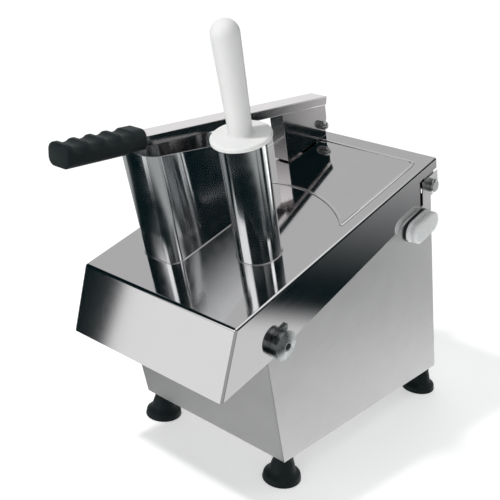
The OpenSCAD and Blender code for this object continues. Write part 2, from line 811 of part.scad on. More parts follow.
module disc_nut() color("dimgray") on_slope() at_disc() difference() {
    union() {
        ring(nut_r, 0, disc_top, disc_top + nut_t - 3);
        translate([0, 0, disc_top + nut_t - 3]) cylinder(r1 = nut_r, r2 = nut_r - 4, h = 3);
    }
    ring(stud_r, 0, disc_top - over, disc_top + nut_t - 3);
}

capacitor_r = 17;
capacitor_len = 70;

module run_capacitor() color("whitesmoke") on_slope()
    translate([-bracket_half - capacitor_r, motor_s - capacitor_len / 2, belt_mid]) rotate([-90, 0, 0])
        cylinder(r = capacitor_r, h = capacitor_len);

sensor_in = 37.2;
sensor_x = -(body_in - sensor_in);
sensor_s = 330;
sensor_size = [30, 14];
magnet_t = 8;
sensor_gap = 4;

module safety_sensor() color("darkred") on_slope()
    translate([sensor_x - sensor_size[0] / 2, sensor_s - sensor_size[1] / 2, deck_top])
        cube([sensor_size[0], sensor_size[1], deck_drop - lid_sheet - magnet_t - sensor_gap]);

module safety_magnet() color("dimgray") on_slope()
    translate([sensor_x - sensor_size[0] / 2, sensor_s - sensor_size[1] / 2, -lid_sheet - magnet_t])
        cube([sensor_size[0], sensor_size[1], magnet_t]);

// A racetrack of the switch, standing out from the side panel
module switch_pad(r, x0, x1) translate([x0, switch_s, switch_w]) rotate([0, 90, 0])
    linear_extrude(height = x1 - x0) racetrack(r, button_gap);

module switch_plate() color("dimgray") on_slope() difference() {
    switch_pad(boot_r + plate_rim, body_half, boot_back);
    at_buttons() cross_rod(button_r + clearance, body_half - over, boot_back + over);
}

module switch_block() color("black") on_slope() difference() {
    translate([block_in, switch_s - button_gap / 2 - button_r - 3, switch_w - button_r - 3])
        cube([body_in - block_in, button_gap + 2 * button_r + 6, 2 * button_r + 6]);
    at_buttons() cross_rod(button_r + clearance, block_in + 2, body_in + over);
}

module button(end) translate([0, switch_s + end * button_gap / 2, switch_w])
    cross_rod(button_r, button_back, button_front - clearance);

module start_button() color("green") on_slope() button(-1);

module stop_button() color("red") on_slope() button(1);

// The boot: a lip on the plate, a neck, and a cap over the buttons
module switch_boot() color("white", 0.6) on_slope() difference() {
    union() {
        switch_pad(boot_r, boot_back, boot_back + boot_lip);
        switch_pad(boot_r - boot_step, boot_back, boot_front);
        switch_pad(boot_r - 0.6, boot_front - boot_cap, boot_front);
    }
    switch_pad(boot_r - boot_step - boot_wall, boot_back - over, button_front);
}

module cable_gland() color("black") on_slope() gland_axis() difference() {
    union() {
        translate([0, 0, -body_sheet - 6]) cylinder(r = gland_thread_r, h = body_sheet + 6);
        translate([0, 0, -body_sheet - 5]) cylinder(r = gland_thread_r + 4, h = 5, $fn = 6);
        cylinder(r = gland_thread_r + 4, h = gland_body, $fn = 6);
        translate([0, 0, gland_body]) cylinder(r1 = gland_thread_r + 2, r2 = gland_bore_r + 2, h = gland_cap);
    }
    translate([0, 0, -body_sheet - 6 - over])
        cylinder(r = gland_bore_r, h = body_sheet + 6 + gland_body + gland_cap + 2 * over);
}

module hinge_bolts() color("silver") on_slope() for (side = [0, 1]) mirror([side, 0, 0]) hinge_axis() {
    cross_rod(hinge_r, hinge_nut_in, body_half);
    cross_rod(hinge_head_r, body_half, body_half + hinge_head_t - 2);
    translate([body_half + hinge_head_t - 2, 0, 0]) rotate([0, 90, 0])
        cylinder(r1 = hinge_head_r, r2 = hinge_head_r - 2, h = 2);
    translate([hinge_nut_out - hinge_nut_t, 0, 0]) rotate([0, 90, 0])
        cylinder(r = 1.8 * hinge_r, h = hinge_nut_t, $fn = 6);
}

module lock_stud() color("silver") on_slope() lock_axis() {
    cross_rod(lock_stud_r, body_in - 1, knob_front - 4);
    cross_rod(2 * lock_stud_r, body_in - 4, body_in);
}

knob_face = 2.8;

module lock_knob() color("darkgray") on_slope() lock_axis() difference() {
    union() {
        cross_rod(knob_r / 2, knob_back, knob_back + tab_t);
        cross_rod(knob_r, knob_back + tab_t, knob_front - knob_face);
        translate([knob_front - knob_face, 0, 0]) rotate([0, 90, 0])
            cylinder(r1 = knob_r, r2 = knob_r / 3, h = knob_face);
    }
    cross_rod(lock_stud_r + running, knob_back - over, knob_front + over);
}

// A washer on the back of the knob, with a point that shows which way the knob stands
module lock_tab() color("dimgray") on_slope() lock_axis() difference() {
    tab_r = knob_r - 0.5;
    across(knob_back, knob_back + tab_t) union() {
        circle(r = tab_r);
        polygon([
            [0, 0], tab_r * [cos(tab_turn + 41), sin(tab_turn + 41)],
            tab_reach * [cos(tab_turn + 2), sin(tab_turn + 2)],
            tab_reach * [cos(tab_turn - 2), sin(tab_turn - 2)],
            tab_r * [cos(tab_turn - 14), sin(tab_turn - 14)]
        ]);
    }
    cross_rod(knob_r / 2, knob_back - over, knob_front);
}

// Side view of a lid flange, with the hinge corner cut away
module flange_outline() polygon([
    [0, 0], [-hood_reach, -hood_drop], [body_front, -flange_front],
    [lid_len - hinge_cut, -flange_depth(lid_len - hinge_cut)], [lid_len - hinge_cut, -hinge_strip],
    [lid_len, -hinge_strip], [lid_len, 0]
]);

// Outline of the embossed panel behind the mouths, which stops short of the lever's lug
module bead_outline(inset) difference() {
    rounded(-lid_w / 2 + bead_in + inset, disc_s, lid_w / 2 - bead_in - inset,
            lid_len - bead_in - inset - 6, 12 - inset);
    translate([0, disc_s]) circle(r = bead_r + inset, $fn = 128);
}

module bead_break() translate([-lever_x - lug_w / 2 - 1, lever_s - lug_r - 1])
    square([lug_w + 2, lid_len]);

module lid_shell() color("silver") on_slope() difference() {
    union() {
        translate([-lid_w / 2, 0, -lid_sheet]) cube([lid_w, lid_len, lid_sheet]);
        hood_t = lid_sheet * norm([hood_reach, hood_drop]) / hood_drop;
        across(-lid_w / 2, lid_w / 2) polygon([
            [0, 0], [-hood_reach, -hood_drop], [-hood_reach + hood_t, -hood_drop], [hood_t, 0]
        ]);
        for (side = [0, 1]) mirror([side, 0, 0]) across(lid_w / 2 - lid_sheet, lid_w / 2) flange_outline();
        linear_extrude(height = bead_h) difference() {
            bead_outline(0);
            bead_outline(bead_w);
            bead_break();
        }
    }
    translate([0, 0, -lid_sheet - over]) linear_extrude(height = lid_sheet + 2 * over) {
        mouth_outline(0);
        translate([tube_x, disc_s]) circle(r = tube_r);
    }
    lock_axis() {
        cross_rod(lock_slot_r, lid_w / 2 - 2 * lid_sheet, lid_w / 2 + over);
        translate([lid_w / 2 - 2 * lid_sheet, -lock_slot_r, -hood_drop])
            cube([2 * lid_sheet + over, 2 * lock_slot_r, hood_drop]);
    }
}

module hinge_lugs() color("silver") on_slope() for (side = [0, 1]) mirror([side, 0, 0]) difference() {
    lug_back = hinge_lug_out - hinge_lug_t;
    hinge_axis() union() {
        cross_rod(hinge_lug_r, lug_back, hinge_lug_out);
        translate([lug_back, -hinge_lug_r, 0])
            cube([hinge_lug_t, 2 * hinge_lug_r, hinge_drop - lid_sheet]);
    }
    hinge_axis() cross_rod(hinge_r + running, lug_back - over, hinge_lug_out + over);
}

module feed_mouth() color("lightgray") on_slope() difference() {
    translate([0, 0, -mouth_depth]) linear_extrude(height = mouth_depth + mouth_h + 1) difference() {
        mouth_outline(0);
        mouth_outline(mouth_wall);
    }
    above_rim();
}

module round_tube() color("lightgray") on_slope() translate([tube_x, disc_s, 0])
    ring(tube_r, tube_r - mouth_wall, -mouth_depth, tube_h);

module pestle() color("ivory") on_slope() translate([tube_x, disc_s, 0]) {
    flange_low = tube_h + clearance;
    flange_top = flange_low + pestle_flange_t;
    ring(tube_r - mouth_wall - pestle_gap, 0, -mouth_depth + 4, flange_low);
    ring(pestle_flange_r, 0, flange_low, flange_top);
    translate([0, 0, flange_top])
        cylinder(r1 = handle_foot_r, r2 = handle_top_r, h = pestle_handle - handle_top_r);
    translate([0, 0, flange_top + pestle_handle - handle_top_r]) sphere(r = handle_top_r);
}

module pivot_lug() color("silver") on_slope() translate([-lever_x, lever_s, 0]) difference() {
    union() {
        translate([0, 0, lever_up]) cross_rod(lug_r, -lug_w / 2, lug_w / 2);
        translate([-lug_w / 2, -lug_r, 0]) cube([lug_w, 2 * lug_r, lever_up]);
    }
    translate([0, 0, lever_up]) cross_rod(pivot_r, -lug_w, lug_w);
}

module pivot_bolt() color("silver") on_slope() translate([-lever_x, lever_s, lever_up]) {
    seat = box_w / 2 + clearance;
    cross_rod(pivot_r, -seat, seat + pivot_head_t);
    cross_rod(pivot_head_r, -seat - pivot_head_t, -seat);
}

module pivot_nut() color("lightgray") on_slope() translate([-lever_x, lever_s, lever_up]) difference() {
    seat = box_w / 2 + clearance;
    union() {
        translate([seat, 0, 0]) rotate([0, 90, 0]) cylinder(r = pivot_head_r, h = pivot_head_t, $fn = 6);
        translate([seat + pivot_head_t, 0, 0]) intersection() {
            sphere(r = pivot_head_r - 1);
            cross_rod(pivot_head_r, 0, pivot_head_r);
        }
    }
    cross_rod(pivot_r, seat - over, seat + pivot_head_t);
}

// Section of the lever bar, open below
module bar_section() difference() {
    translate([-bar_w / 2, bar_under]) square([bar_w, bar_h]);
    translate([-bar_w / 2 + bar_wall, bar_under - over]) square([bar_w - 2 * bar_wall, bar_h - bar_wall + over]);
}

bar_back = 5;

// A section of the lever drawn out along it
module along_lever(y0, y1) translate([0, y1, 0]) rotate([90, 0, 0]) linear_extrude(height = y1 - y0) children();

module lever_bar() color("silver") on_slope() lever_axes() along_lever(-lever_len + bar_back, bar_back) bar_section();

// Side view of the lever box: its rear lower corner clears the lid as the lever rises
module box_outline() {
    front = lever_s + box_back - box_len;
    back = lever_s + box_back;
    low_end = lever_s - 8.5;
    polygon([
        [front, box_gap], [low_end, box_gap], [back - 6, lever_up - 10], [back, lever_up + 5],
        [back, bar_under_w(back) + bar_h - bar_wall - 1], [front, bar_under_w(front) + bar_h - bar_wall - 1]
    ]);
}

module lever_box() color("silver") on_slope() difference() {
    across(-lever_x - box_w / 2, -lever_x + box_w / 2) box_outline();
    translate([0, bar_wall, 0]) across(-lever_x - box_inner / 2, -lever_x + box_inner / 2)
        translate([lever_s + box_back - box_len, 0]) square([box_len + over, lid_w]);
    translate([-lever_x, lever_s, lever_up]) cross_rod(pivot_r + running, -box_w, box_w);
    lever_axes() translate([-bar_w, -lid_len, bar_rise - bar_wall]) cube([2 * bar_w, 2 * lid_len, lid_w]);
}

wave_count = 4;
wave_half = 0.4 * wave_pitch;
wave_r = (wave_half * wave_half + wave_depth * wave_depth) / (2 * wave_depth);

// The grip is cut away below, where it rests over the large mouth's rim, and round the pusher's stem
module lever_grip() color("black") on_slope() difference() {
    lever_axes() difference() {
        along_lever(-lever_len, -lever_len + grip_len)
            rounded(-grip_w / 2, grip_low, grip_w / 2, grip_top, grip_corner);
        along_lever(-lever_len + bar_back, bar_back) bar_section();
        translate([-grip_w, rim_y - 3, grip_low - over])
            cube([2 * grip_w, lever_len, rim_top - grip_low + over]);
        for (wave = [0:wave_count - 1])
            translate([0, -lever_len + (wave + 0.7) * wave_pitch, grip_top + wave_r - wave_depth])
                cross_rod(wave_r, -grip_w, grip_w);
    }
    stem_block(clearance);
}

pusher_gap = 1;
pusher_fore = 4;
pusher_back = 22;

// Outline that stays inside the mouth while the lever swings it up and back
module pusher_outline() intersection() {
    translate([0, pusher_fore]) mouth_outline(mouth_wall + pusher_gap);
    translate([0, -pusher_back]) mouth_outline(mouth_wall + pusher_gap);
}

module pusher_screw_spots() for (end = [-1, 1]) translate([-lever_x, disc_s + end * stem_len / 4, 0]) children();

pusher_screw_r = 2.5;

// The pusher's stem before its top is cut to the bar, grown all round
module stem_block(grow) translate([-lever_x - stem_w / 2 - grow, disc_s - stem_len / 2 - grow, pusher_top])
    cube([stem_w + 2 * grow, stem_len + 2 * grow, mouth_h - pusher_top + bar_h]);

module pusher_stem() color("silver") on_slope() difference() {
    stem_block(0);
    lever_axes() translate([-bar_w, -lid_len, bar_rise - bar_wall]) cube([2 * bar_w, 2 * lid_len, lid_w]);
    pusher_screw_spots() ring(pusher_screw_r, 0, pusher_top - over, pusher_top + 12);
}

module pusher_plate() color("ivory") on_slope() difference() {
    translate([0, 0, pusher_low]) linear_extrude(height = pusher_t) pusher_outline();
    pusher_screw_spots() {
        ring(pusher_screw_r, 0, pusher_low - over, pusher_top + over);
        ring(2 * pusher_screw_r, 0, pusher_low - over, pusher_low + 4);
    }
}

module pusher_screws() color("dimgray") on_slope() pusher_screw_spots() {
    ring(pusher_screw_r, 0, pusher_low + 1, pusher_top + 12);
    ring(2 * pusher_screw_r, 0, pusher_low + 1, pusher_low + 4);
}

left_side_panel();
right_side_panel();
front_panel();
deck_plate();
rear_panel();
rear_panel_screws();
base_plate();
rubber_feet();
foot_bolts();
chamber_band();
bearing_housing();
hex_bolts();
upper_bearing();
lower_bearing();
shaft_seal();
motor_bracket();
motor_housing();
motor_stator();
motor_end_bell();
motor_rotor();
motor_shaft();
motor_pulley();
drive_belt();
disc_shaft();
disc_pulley();
shaft_circlip();
drive_pin();
ejector_disc();
cutting_disc();
cutting_blade();
blade_screws();
disc_nut();
run_capacitor();
safety_sensor();
safety_magnet();
switch_plate();
switch_block();
start_button();
stop_button();
switch_boot();
cable_gland();
hinge_bolts();
lock_stud();
lock_knob();
lock_tab();
lid_shell();
hinge_lugs();
feed_mouth();
round_tube();
pestle();
pivot_lug();
pivot_bolt();
pivot_nut();
lever_bar();
lever_box();
lever_grip();
pusher_stem();
pusher_plate();
pusher_screws();
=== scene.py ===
"""Looks of a bench-top vegetable cutter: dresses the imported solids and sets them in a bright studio."""
import json
from math import acos, asin, atan2, cos, degrees, hypot, pi, radians, sin, sqrt, tan

import bmesh
import bpy
from bpy.props import FloatProperty, FloatVectorProperty, IntProperty, PointerProperty
from mathutils import Matrix, Vector


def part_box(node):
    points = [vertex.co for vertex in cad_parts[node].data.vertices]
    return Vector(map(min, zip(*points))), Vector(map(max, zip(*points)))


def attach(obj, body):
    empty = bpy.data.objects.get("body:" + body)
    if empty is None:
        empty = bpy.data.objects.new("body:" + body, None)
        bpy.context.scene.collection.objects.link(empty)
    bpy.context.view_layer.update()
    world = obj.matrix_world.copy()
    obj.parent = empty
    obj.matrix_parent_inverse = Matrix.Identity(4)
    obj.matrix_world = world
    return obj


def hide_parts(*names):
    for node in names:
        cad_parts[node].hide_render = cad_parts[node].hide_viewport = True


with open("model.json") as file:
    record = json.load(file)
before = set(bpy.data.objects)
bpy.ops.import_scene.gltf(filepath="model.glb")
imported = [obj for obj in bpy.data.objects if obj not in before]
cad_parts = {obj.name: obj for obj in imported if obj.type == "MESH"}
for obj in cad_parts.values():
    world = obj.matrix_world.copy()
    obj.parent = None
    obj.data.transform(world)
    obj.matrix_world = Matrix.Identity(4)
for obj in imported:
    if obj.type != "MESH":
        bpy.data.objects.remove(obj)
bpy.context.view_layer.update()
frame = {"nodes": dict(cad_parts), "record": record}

bl_info = {
    "name": "Vegetable Cutter Looks",
    "version": (1, 0, 0),
    "blender": (4, 5, 0),
    "location": "3D View > Sidebar > Cutter",
    "description": "Builds the finished pieces and the studio of a bench-top vegetable cutter",
    "category": "Object",
}

MM = 0.001
SLOPE = 18.0
# Where the machine stands in the shared frame: the middle of its width, the start of its length, and the
# front edge of its lid
MIDDLE_X, FLOOR_Y = -4.1, -93.913
LID_FRONT = (MIDDLE_X, -209.2335, 260.2413)

# Sizes taken over from the solids, in millimetres: x from the middle, s up the slope from the lid's front
# edge, and w square to the lid
LID_HALF, LID_LEN = 125, 420
BODY_FRONT, BODY_REAR = 41, 406
FLANGE_FRONT, FLANGE_REAR = 78, 57
HINGE_CUT_S, HINGE_STRIP = 376, 15
HOOD = (-42.0, -76.0)
LOCK, LOCK_SLOT_R = (62.5, -64.0), 5.5
DISC_S = 127
MOUTH_FRONT, MOUTH_BACK, MOUTH_SIDE = 53, 201, -18.4
MOUTH_R, MOUTH_CORNER, MOUTH_EASE = 102, 15, 9
MOUTH_RIM, MOUTH_MIDDLE_X, MOUTH_DEPTH = 148, -60, 30
TUBE_X, TUBE_R, TUBE_TOP = 53, 27.5, 153
LEVER_X, PIVOT_S, PIVOT_W, LEVER_TILT, LEVER_LEN = -63, 401, 21, 15.947, 462
SWITCH_W, SWITCH_ENDS = -77, (350, 380)
FOOT_SPOTS = [(side * 108.7, y, 0) for side in (-1, 1) for y in (17.5, 366.28)]

ON_SLOPE = (Matrix.Scale(MM, 4) @ Matrix.Translation(LID_FRONT) @ Matrix.Rotation(radians(SLOPE), 4, "X"))
ON_FLOOR = Matrix.Scale(MM, 4) @ Matrix.Translation((MIDDLE_X, FLOOR_Y, 0))
ON_TUBE = ON_SLOPE @ Matrix.Translation((TUBE_X, DISC_S, 0))
ON_LEVER = (ON_SLOPE @ Matrix.Translation((LEVER_X, PIVOT_S, PIVOT_W))
            @ Matrix.Rotation(radians(-LEVER_TILT), 4, "X"))


def linear(code):
    """A hex sRGB colour as linear red, green and blue."""
    parts = [int(code[i:i + 2], 16) / 255 for i in (1, 3, 5)]
    return [c / 12.92 if c <= 0.04045 else ((c + 0.055) / 1.055) ** 2.4 for c in parts]


def size(name, text, default):
    """A length that can be set in the panel."""
    return FloatProperty(name=name, description=text + ", in millimetres", default=default,
                         min=0.1, max=1000.0)


def colour(name, text, code):
    """A colour that can be set in the panel."""
    return FloatVectorProperty(name=name, description=text, subtype="COLOR", size=3, min=0, max=1,
                               default=linear(code))


class CutterSizes(bpy.types.PropertyGroup):
    """Sizes that the finished pieces add to the solids."""
    sheet_edge: size("Sheet edge", "Rounding of the body's sheet edges", 0.45)
    lid_bend: size("Lid bend", "Outer radius of the lid's bends", 3.0)
    lid_sheet: size("Lid sheet", "Thickness of the lid's sheet", 1.2)
    bead_width: size("Bead width", "Width of the lid's embossed bead", 4.4)
    bead_height: size("Bead height", "Height of the lid's embossed bead", 0.9)
    weld_width: size("Weld width", "Width of the weld round a mouth", 2.2)
    mouth_wall: size("Mouth wall", "Wall of the mouth and the tube", 1.5)
    pestle_fillet: size("Pestle fillet", "Fillet between the pestle's flange and handle", 5.0)
    bar_edge: size("Bar edge", "Rounding of the lever bar's edges", 0.9)
    box_edge: size("Box edge", "Rounding of the lever box's folds", 1.6)
    wave_depth: size("Wave depth", "Depth of the grip's finger waves", 3.0)
    wave_pitch: size("Wave pitch", "Pitch of the grip's finger waves", 23.0)
    lathe_steps: IntProperty(name="Lathe steps", description="Faces round a turned piece",
                             default=96, min=24, max=256)


class CutterColours(bpy.types.PropertyGroup):
    """Colours of the finishes."""
    casing: colour("Casing steel", "Satin stainless of the body", "#DCDBDB")
    lid: colour("Lid steel", "Semi-polished stainless of the lid", "#DAD8D9")
    mirror: colour("Mirror steel", "Polished stainless of the mouths", "#DADCDD")
    lever: colour("Lever steel", "Brushed stainless of the lever", "#D6D2D2")
    turned: colour("Turned steel", "Turned stainless of the knob", "#9EA1A1")
    fastener: colour("Fastener steel", "Bright zinc of bolts and nuts", "#C4C5C4")
    drive: colour("Drive steel", "Ground steel of shafts and brackets", "#B4B5B6")
    alloy: colour("Cast alloy", "Cast aluminium of the disc and the pulleys", "#C3C5C6")
    enamel: colour("Motor enamel", "Baked enamel of the motor", "#4A555C")
    copper: colour("Copper windings", "Varnished copper", "#B46A3C")
    milky: colour("Milky plastic", "Food-grade polyethylene", "#E8E8E7")
    rubber: colour("Black rubber", "Moulded rubber", "#0E1A1C")
    plastic: colour("Black plastic", "Moulded nylon", "#26272A")
    silicone: colour("Boot silicone", "Cloudy silicone", "#F2F4F3")
    green: colour("Start green", "Moulded start button", "#1F8A4C")
    red: colour("Stop red", "Moulded stop button", "#B3231F")


def sizes():
    """The sizes as they stand in the scene."""
    return bpy.context.scene.cutter_sizes


def colours():
    """The colours as they stand in the scene."""
    return bpy.context.scene.cutter_colours


# Materials


def add(tree, kind, settings=None, links=None):
    """Adds a node, sets its settings, and gives its inputs a value or a link."""
    node = tree.nodes.new(kind)
    for key, value in (settings or {}).items():
        setattr(node, key, value)
    for key, value in (links or {}).items():
        if isinstance(value, bpy.types.NodeSocket):
            tree.links.new(value, node.inputs[key])
        else:
            node.inputs[key].default_value = value
    return node


def blank(name):
    """A new material with its tree, its main shader and its Object coordinates."""
    material = bpy.data.materials.new(name)
    material.use_nodes = True
    tree = material.node_tree
    shader = tree.nodes["Principled BSDF"]
    coords = add(tree, "ShaderNodeTexCoord").outputs["Object"]
    return material, tree, shader, coords


def shade(c, factor=1.0):
    """A colour made darker or lighter, as a socket takes it."""
    return (*[min(1.0, part * factor) for part in c], 1.0)


# Widths in millimetres of the slow changes of tone in metal and in plastic, of the haze on a buffed tube and
# of the patches on a turned piece
METAL_CLOUD, PLASTIC_CLOUD, BUFFED_HAZE, TURNED_PATCH = 40, 25, 18, 5
# Depths in millimetres of brushed scratches, of turned rings and of a mould's grain
SCRATCH_DEPTH, RING_DEPTH, GRAIN_DEPTH = 0.05, 0.04, 0.1


def brushed(name, base, grain, rough, spread, bump, cloud_depth=0.06):
    """Metal drawn with an abrasive belt: streaks of a given size in millimetres, and a slow cloud.

    The streaks are coarser than the real 0.1 mm scratches, so that they show at the picture's size."""
    material, tree, shader, coords = blank(name)
    drawn = add(tree, "ShaderNodeMapping", {"vector_type": "TEXTURE"},
                {"Vector": coords, "Rotation": (radians(SLOPE), 0, 0),
                 "Scale": [g * MM for g in grain]}).outputs[0]
    streak = add(tree, "ShaderNodeTexNoise", None,
                 {"Vector": drawn, "Scale": 1.0, "Detail": 3.0, "Roughness": 0.6}).outputs["Fac"]
    slow = add(tree, "ShaderNodeTexNoise", None,
               {"Vector": coords, "Scale": 1 / (METAL_CLOUD * MM), "Detail": 2.0}).outputs["Fac"]
    mixed = add(tree, "ShaderNodeMix", {"data_type": "FLOAT"}, {0: 0.35, 2: streak, 3: slow}).outputs[0]
    tone = add(tree, "ShaderNodeMapRange", None,
               {"Value": mixed, "From Min": 0.3, "From Max": 0.7, "To Min": 0.0, "To Max": 1.0}).outputs[0]
    mix = add(tree, "ShaderNodeMix", {"data_type": "RGBA"},
              {0: tone, 6: shade(base, 1 - cloud_depth), 7: shade(base, 1 + cloud_depth)})
    tree.links.new(mix.outputs[2], shader.inputs["Base Color"])
    dull = add(tree, "ShaderNodeMapRange", None,
               {"Value": streak, "From Min": 0.3, "From Max": 0.7, "To Min": rough - spread,
                "To Max": rough + spread}).outputs[0]
    tree.links.new(dull, shader.inputs["Roughness"])
    relief = add(tree, "ShaderNodeBump", None,
                 {"Height": streak, "Strength": bump, "Distance": SCRATCH_DEPTH * MM})
    tree.links.new(relief.outputs[0], shader.inputs["Normal"])
    shader.inputs["Metallic"].default_value = 1.0
    return material


def polished(name, base, rough, wave, wave_height):
    """Sheet buffed round and round: reflections drawn out along the piece, which waver with its slow dents.

    The direction comes from the piece's own map, which runs along its axis."""
    material, tree, shader, coords = blank(name)
    dents = add(tree, "ShaderNodeTexNoise", None,
                {"Vector": coords, "Scale": 1 / (wave * MM), "Detail": 1.0}).outputs["Fac"]
    haze = add(tree, "ShaderNodeTexNoise", None,
               {"Vector": coords, "Scale": 1 / (BUFFED_HAZE * MM), "Detail": 1.0}).outputs["Fac"]
    dull = add(tree, "ShaderNodeMapRange", None,
               {"Value": haze, "From Min": 0.3, "From Max": 0.7, "To Min": rough * 0.85,
                "To Max": rough * 1.2}).outputs[0]
    tree.links.new(dull, shader.inputs["Roughness"])
    mix = add(tree, "ShaderNodeMix", {"data_type": "RGBA"}, {0: haze, 6: shade(base, 0.95), 7: shade(base)})
    tree.links.new(mix.outputs[2], shader.inputs["Base Color"])
    relief = add(tree, "ShaderNodeBump", None,
                 {"Height": dents, "Strength": 1.0, "Distance": wave_height * MM})
    tree.links.new(relief.outputs[0], shader.inputs["Normal"])
    shader.inputs["Metallic"].default_value = 1.0
    shader.inputs["Anisotropic"].default_value = 0.95
    grain = add(tree, "ShaderNodeTangent", {"direction_type": "UV_MAP", "uv_map": "along_axis"})
    tree.links.new(grain.outputs[0], shader.inputs["Tangent"])
    return material


def turned(name, base, centre, axis_turn, pitch, rough, bump):
    """Lathe-turned metal: fine rings round the piece's axis at the tool's feed, drawn at a visible pitch."""
    material, tree, shader, coords = blank(name)
    local = add(tree, "ShaderNodeMapping", {"vector_type": "TEXTURE"},
                {"Vector": coords, "Location": centre, "Rotation": axis_turn,
                 "Scale": (pitch * MM,) * 3}).outputs[0]
    rings = add(tree, "ShaderNodeTexWave", {"wave_type": "RINGS", "rings_direction": "Z"},
                {"Vector": local, "Scale": 1.0, "Distortion": 0.6, "Detail": 2.0}).outputs["Fac"]
    patch = add(tree, "ShaderNodeTexNoise", None,
                {"Vector": coords, "Scale": 1 / (TURNED_PATCH * MM), "Detail": 3.0}).outputs["Fac"]
    dull = add(tree, "ShaderNodeMapRange", None,
               {"Value": patch, "From Min": 0.3, "From Max": 0.7, "To Min": rough * 0.7,
                "To Max": rough * 1.4}).outputs[0]
    tree.links.new(dull, shader.inputs["Roughness"])
    mix = add(tree, "ShaderNodeMix", {"data_type": "RGBA"}, {0: rings, 6: shade(base, 0.88), 7: shade(base)})
    tree.links.new(mix.outputs[2], shader.inputs["Base Color"])
    relief = add(tree, "ShaderNodeBump", None,
                 {"Height": rings, "Strength": bump, "Distance": RING_DEPTH * MM})
    tree.links.new(relief.outputs[0], shader.inputs["Normal"])
    shader.inputs["Metallic"].default_value = 1.0
    return material


def moulded(name, base, rough, grit, bump, depth=0.05, sheen=0.0, scatter=0.0, clear=0.0, specular=0.5):
    """Moulded plastic or rubber: the mould's fine spark-eroded grain, and a slow change of tone."""
    material, tree, shader, coords = blank(name)
    grain = add(tree, "ShaderNodeTexNoise", None,
                {"Vector": coords, "Scale": 1 / (grit * MM), "Detail": 3.0}).outputs["Fac"]
    slow = add(tree, "ShaderNodeTexNoise", None,
               {"Vector": coords, "Scale": 1 / (PLASTIC_CLOUD * MM), "Detail": 2.0}).outputs["Fac"]
    mix = add(tree, "ShaderNodeMix", {"data_type": "RGBA"},
              {0: slow, 6: shade(base, 1 - depth), 7: shade(base, 1 + depth)})
    tree.links.new(mix.outputs[2], shader.inputs["Base Color"])
    dull = add(tree, "ShaderNodeMapRange", None,
               {"Value": grain, "From Min": 0.3, "From Max": 0.7, "To Min": rough - 0.06,
                "To Max": rough + 0.06}).outputs[0]
    tree.links.new(dull, shader.inputs["Roughness"])
    relief = add(tree, "ShaderNodeBump", None,
                 {"Height": grain, "Strength": bump, "Distance": GRAIN_DEPTH * MM})
    tree.links.new(relief.outputs[0], shader.inputs["Normal"])
    shader.inputs["Sheen Weight"].default_value = sheen
    shader.inputs["Subsurface Weight"].default_value = scatter
    shader.inputs["Subsurface Radius"].default_value = (4 * MM, 4 * MM, 3.5 * MM)
    shader.inputs["Subsurface Scale"].default_value = 1.0
    shader.inputs["Transmission Weight"].default_value = clear
    shader.inputs["Specular IOR Level"].default_value = specular
    return material


FINISHES = {}


def make_finishes():
    """Makes the material of every slot. Lengths are in millimetres."""
    c = colours()
    FINISHES.update({
        # Satin stainless, belt-brushed down the sides: soft streaks and a broad blurred highlight
        "casing_steel": brushed("satin_brushed_stainless", c.casing, (60, 60, 1.2), 0.34, 0.05, 0.25),
        # Semi-polished stainless, brushed up the slope: near things mirror in it and far ones blur
        "lid_steel": brushed("semi_polished_stainless", c.lid, (1.0, 90, 1.0), 0.065, 0.015, 0.03, 0.02),
        # Buffed stainless of the mouths: a dark and bright mirror with slow dents
        "mouth_steel": polished("buffed_stainless", c.mirror, 0.12, 45, 0.08),
        # Polished stainless brushed along the lever: clear sides, a streaked top
        "lever_steel": brushed("lever_brushed_stainless", c.lever, (0.7, 80, 0.7), 0.11, 0.03, 0.08),
        # Turned stainless: rings that fan the light into sectors
        "knob_steel": turned("turned_stainless", c.turned, ON_SLOPE @ Vector((0, *LOCK)),
                             (0, radians(90), 0), 0.9, 0.3, 0.25),
        # Zinc-bright steel: a pale, slightly hazed mirror
        "fastener_steel": brushed("zinc_bright_steel", c.fastener, (2, 2, 2), 0.34, 0.05, 0.1),
        # Ground and oiled steel: darker, with short grinding marks
        "drive_steel": brushed("ground_oiled_steel", c.drive, (0.8, 20, 0.8), 0.3, 0.06, 0.2),
        # Sand-cast aluminium: a pale grain without streaks
        "cast_alloy": brushed("cast_aluminium", c.alloy, (1.2, 1.2, 1.2), 0.42, 0.08, 0.5),
        # Baked enamel: an even dark blue-grey gloss with faint orange peel
        "motor_paint": moulded("baked_enamel", c.enamel, 0.32, 2.5, 0.15),
        # Varnished copper wire and laminations: warm, banded and glossy
        "motor_copper": brushed("varnished_copper", c.copper, (40, 40, 1.2), 0.28, 0.06, 0.6, 0.25),
        # Food-grade polyethylene: milky, waxy and a little see-through at the edges
        "white_plastic": moulded("milky_polyethylene", c.milky, 0.38, 1.5, 0.05, 0.02, scatter=0.25),
        # Moulded black rubber: matte, with a faint bloom on its edges
        "black_rubber": moulded("moulded_black_rubber", c.rubber, 0.6, 0.8, 0.25, 0.2,
                                sheen=0.04, specular=0.35),
        # Moulded black nylon: dark with a satin gleam
        "black_plastic": moulded("moulded_black_nylon", c.plastic, 0.42, 0.9, 0.12, 0.12),
        # Cloudy silicone: pale, soft, and slightly clear
        "boot_silicone": moulded("cloudy_silicone", c.silicone, 0.3, 1.8, 0.06, 0.04,
                                 scatter=0.3, clear=0.08),
        # Moulded button plastic: full colour and a soft gloss
        "button_green": moulded("moulded_green_plastic", c.green, 0.3, 1.2, 0.05),
        "button_red": moulded("moulded_red_plastic", c.red, 0.3, 1.2, 0.05),
    })


# Meshes


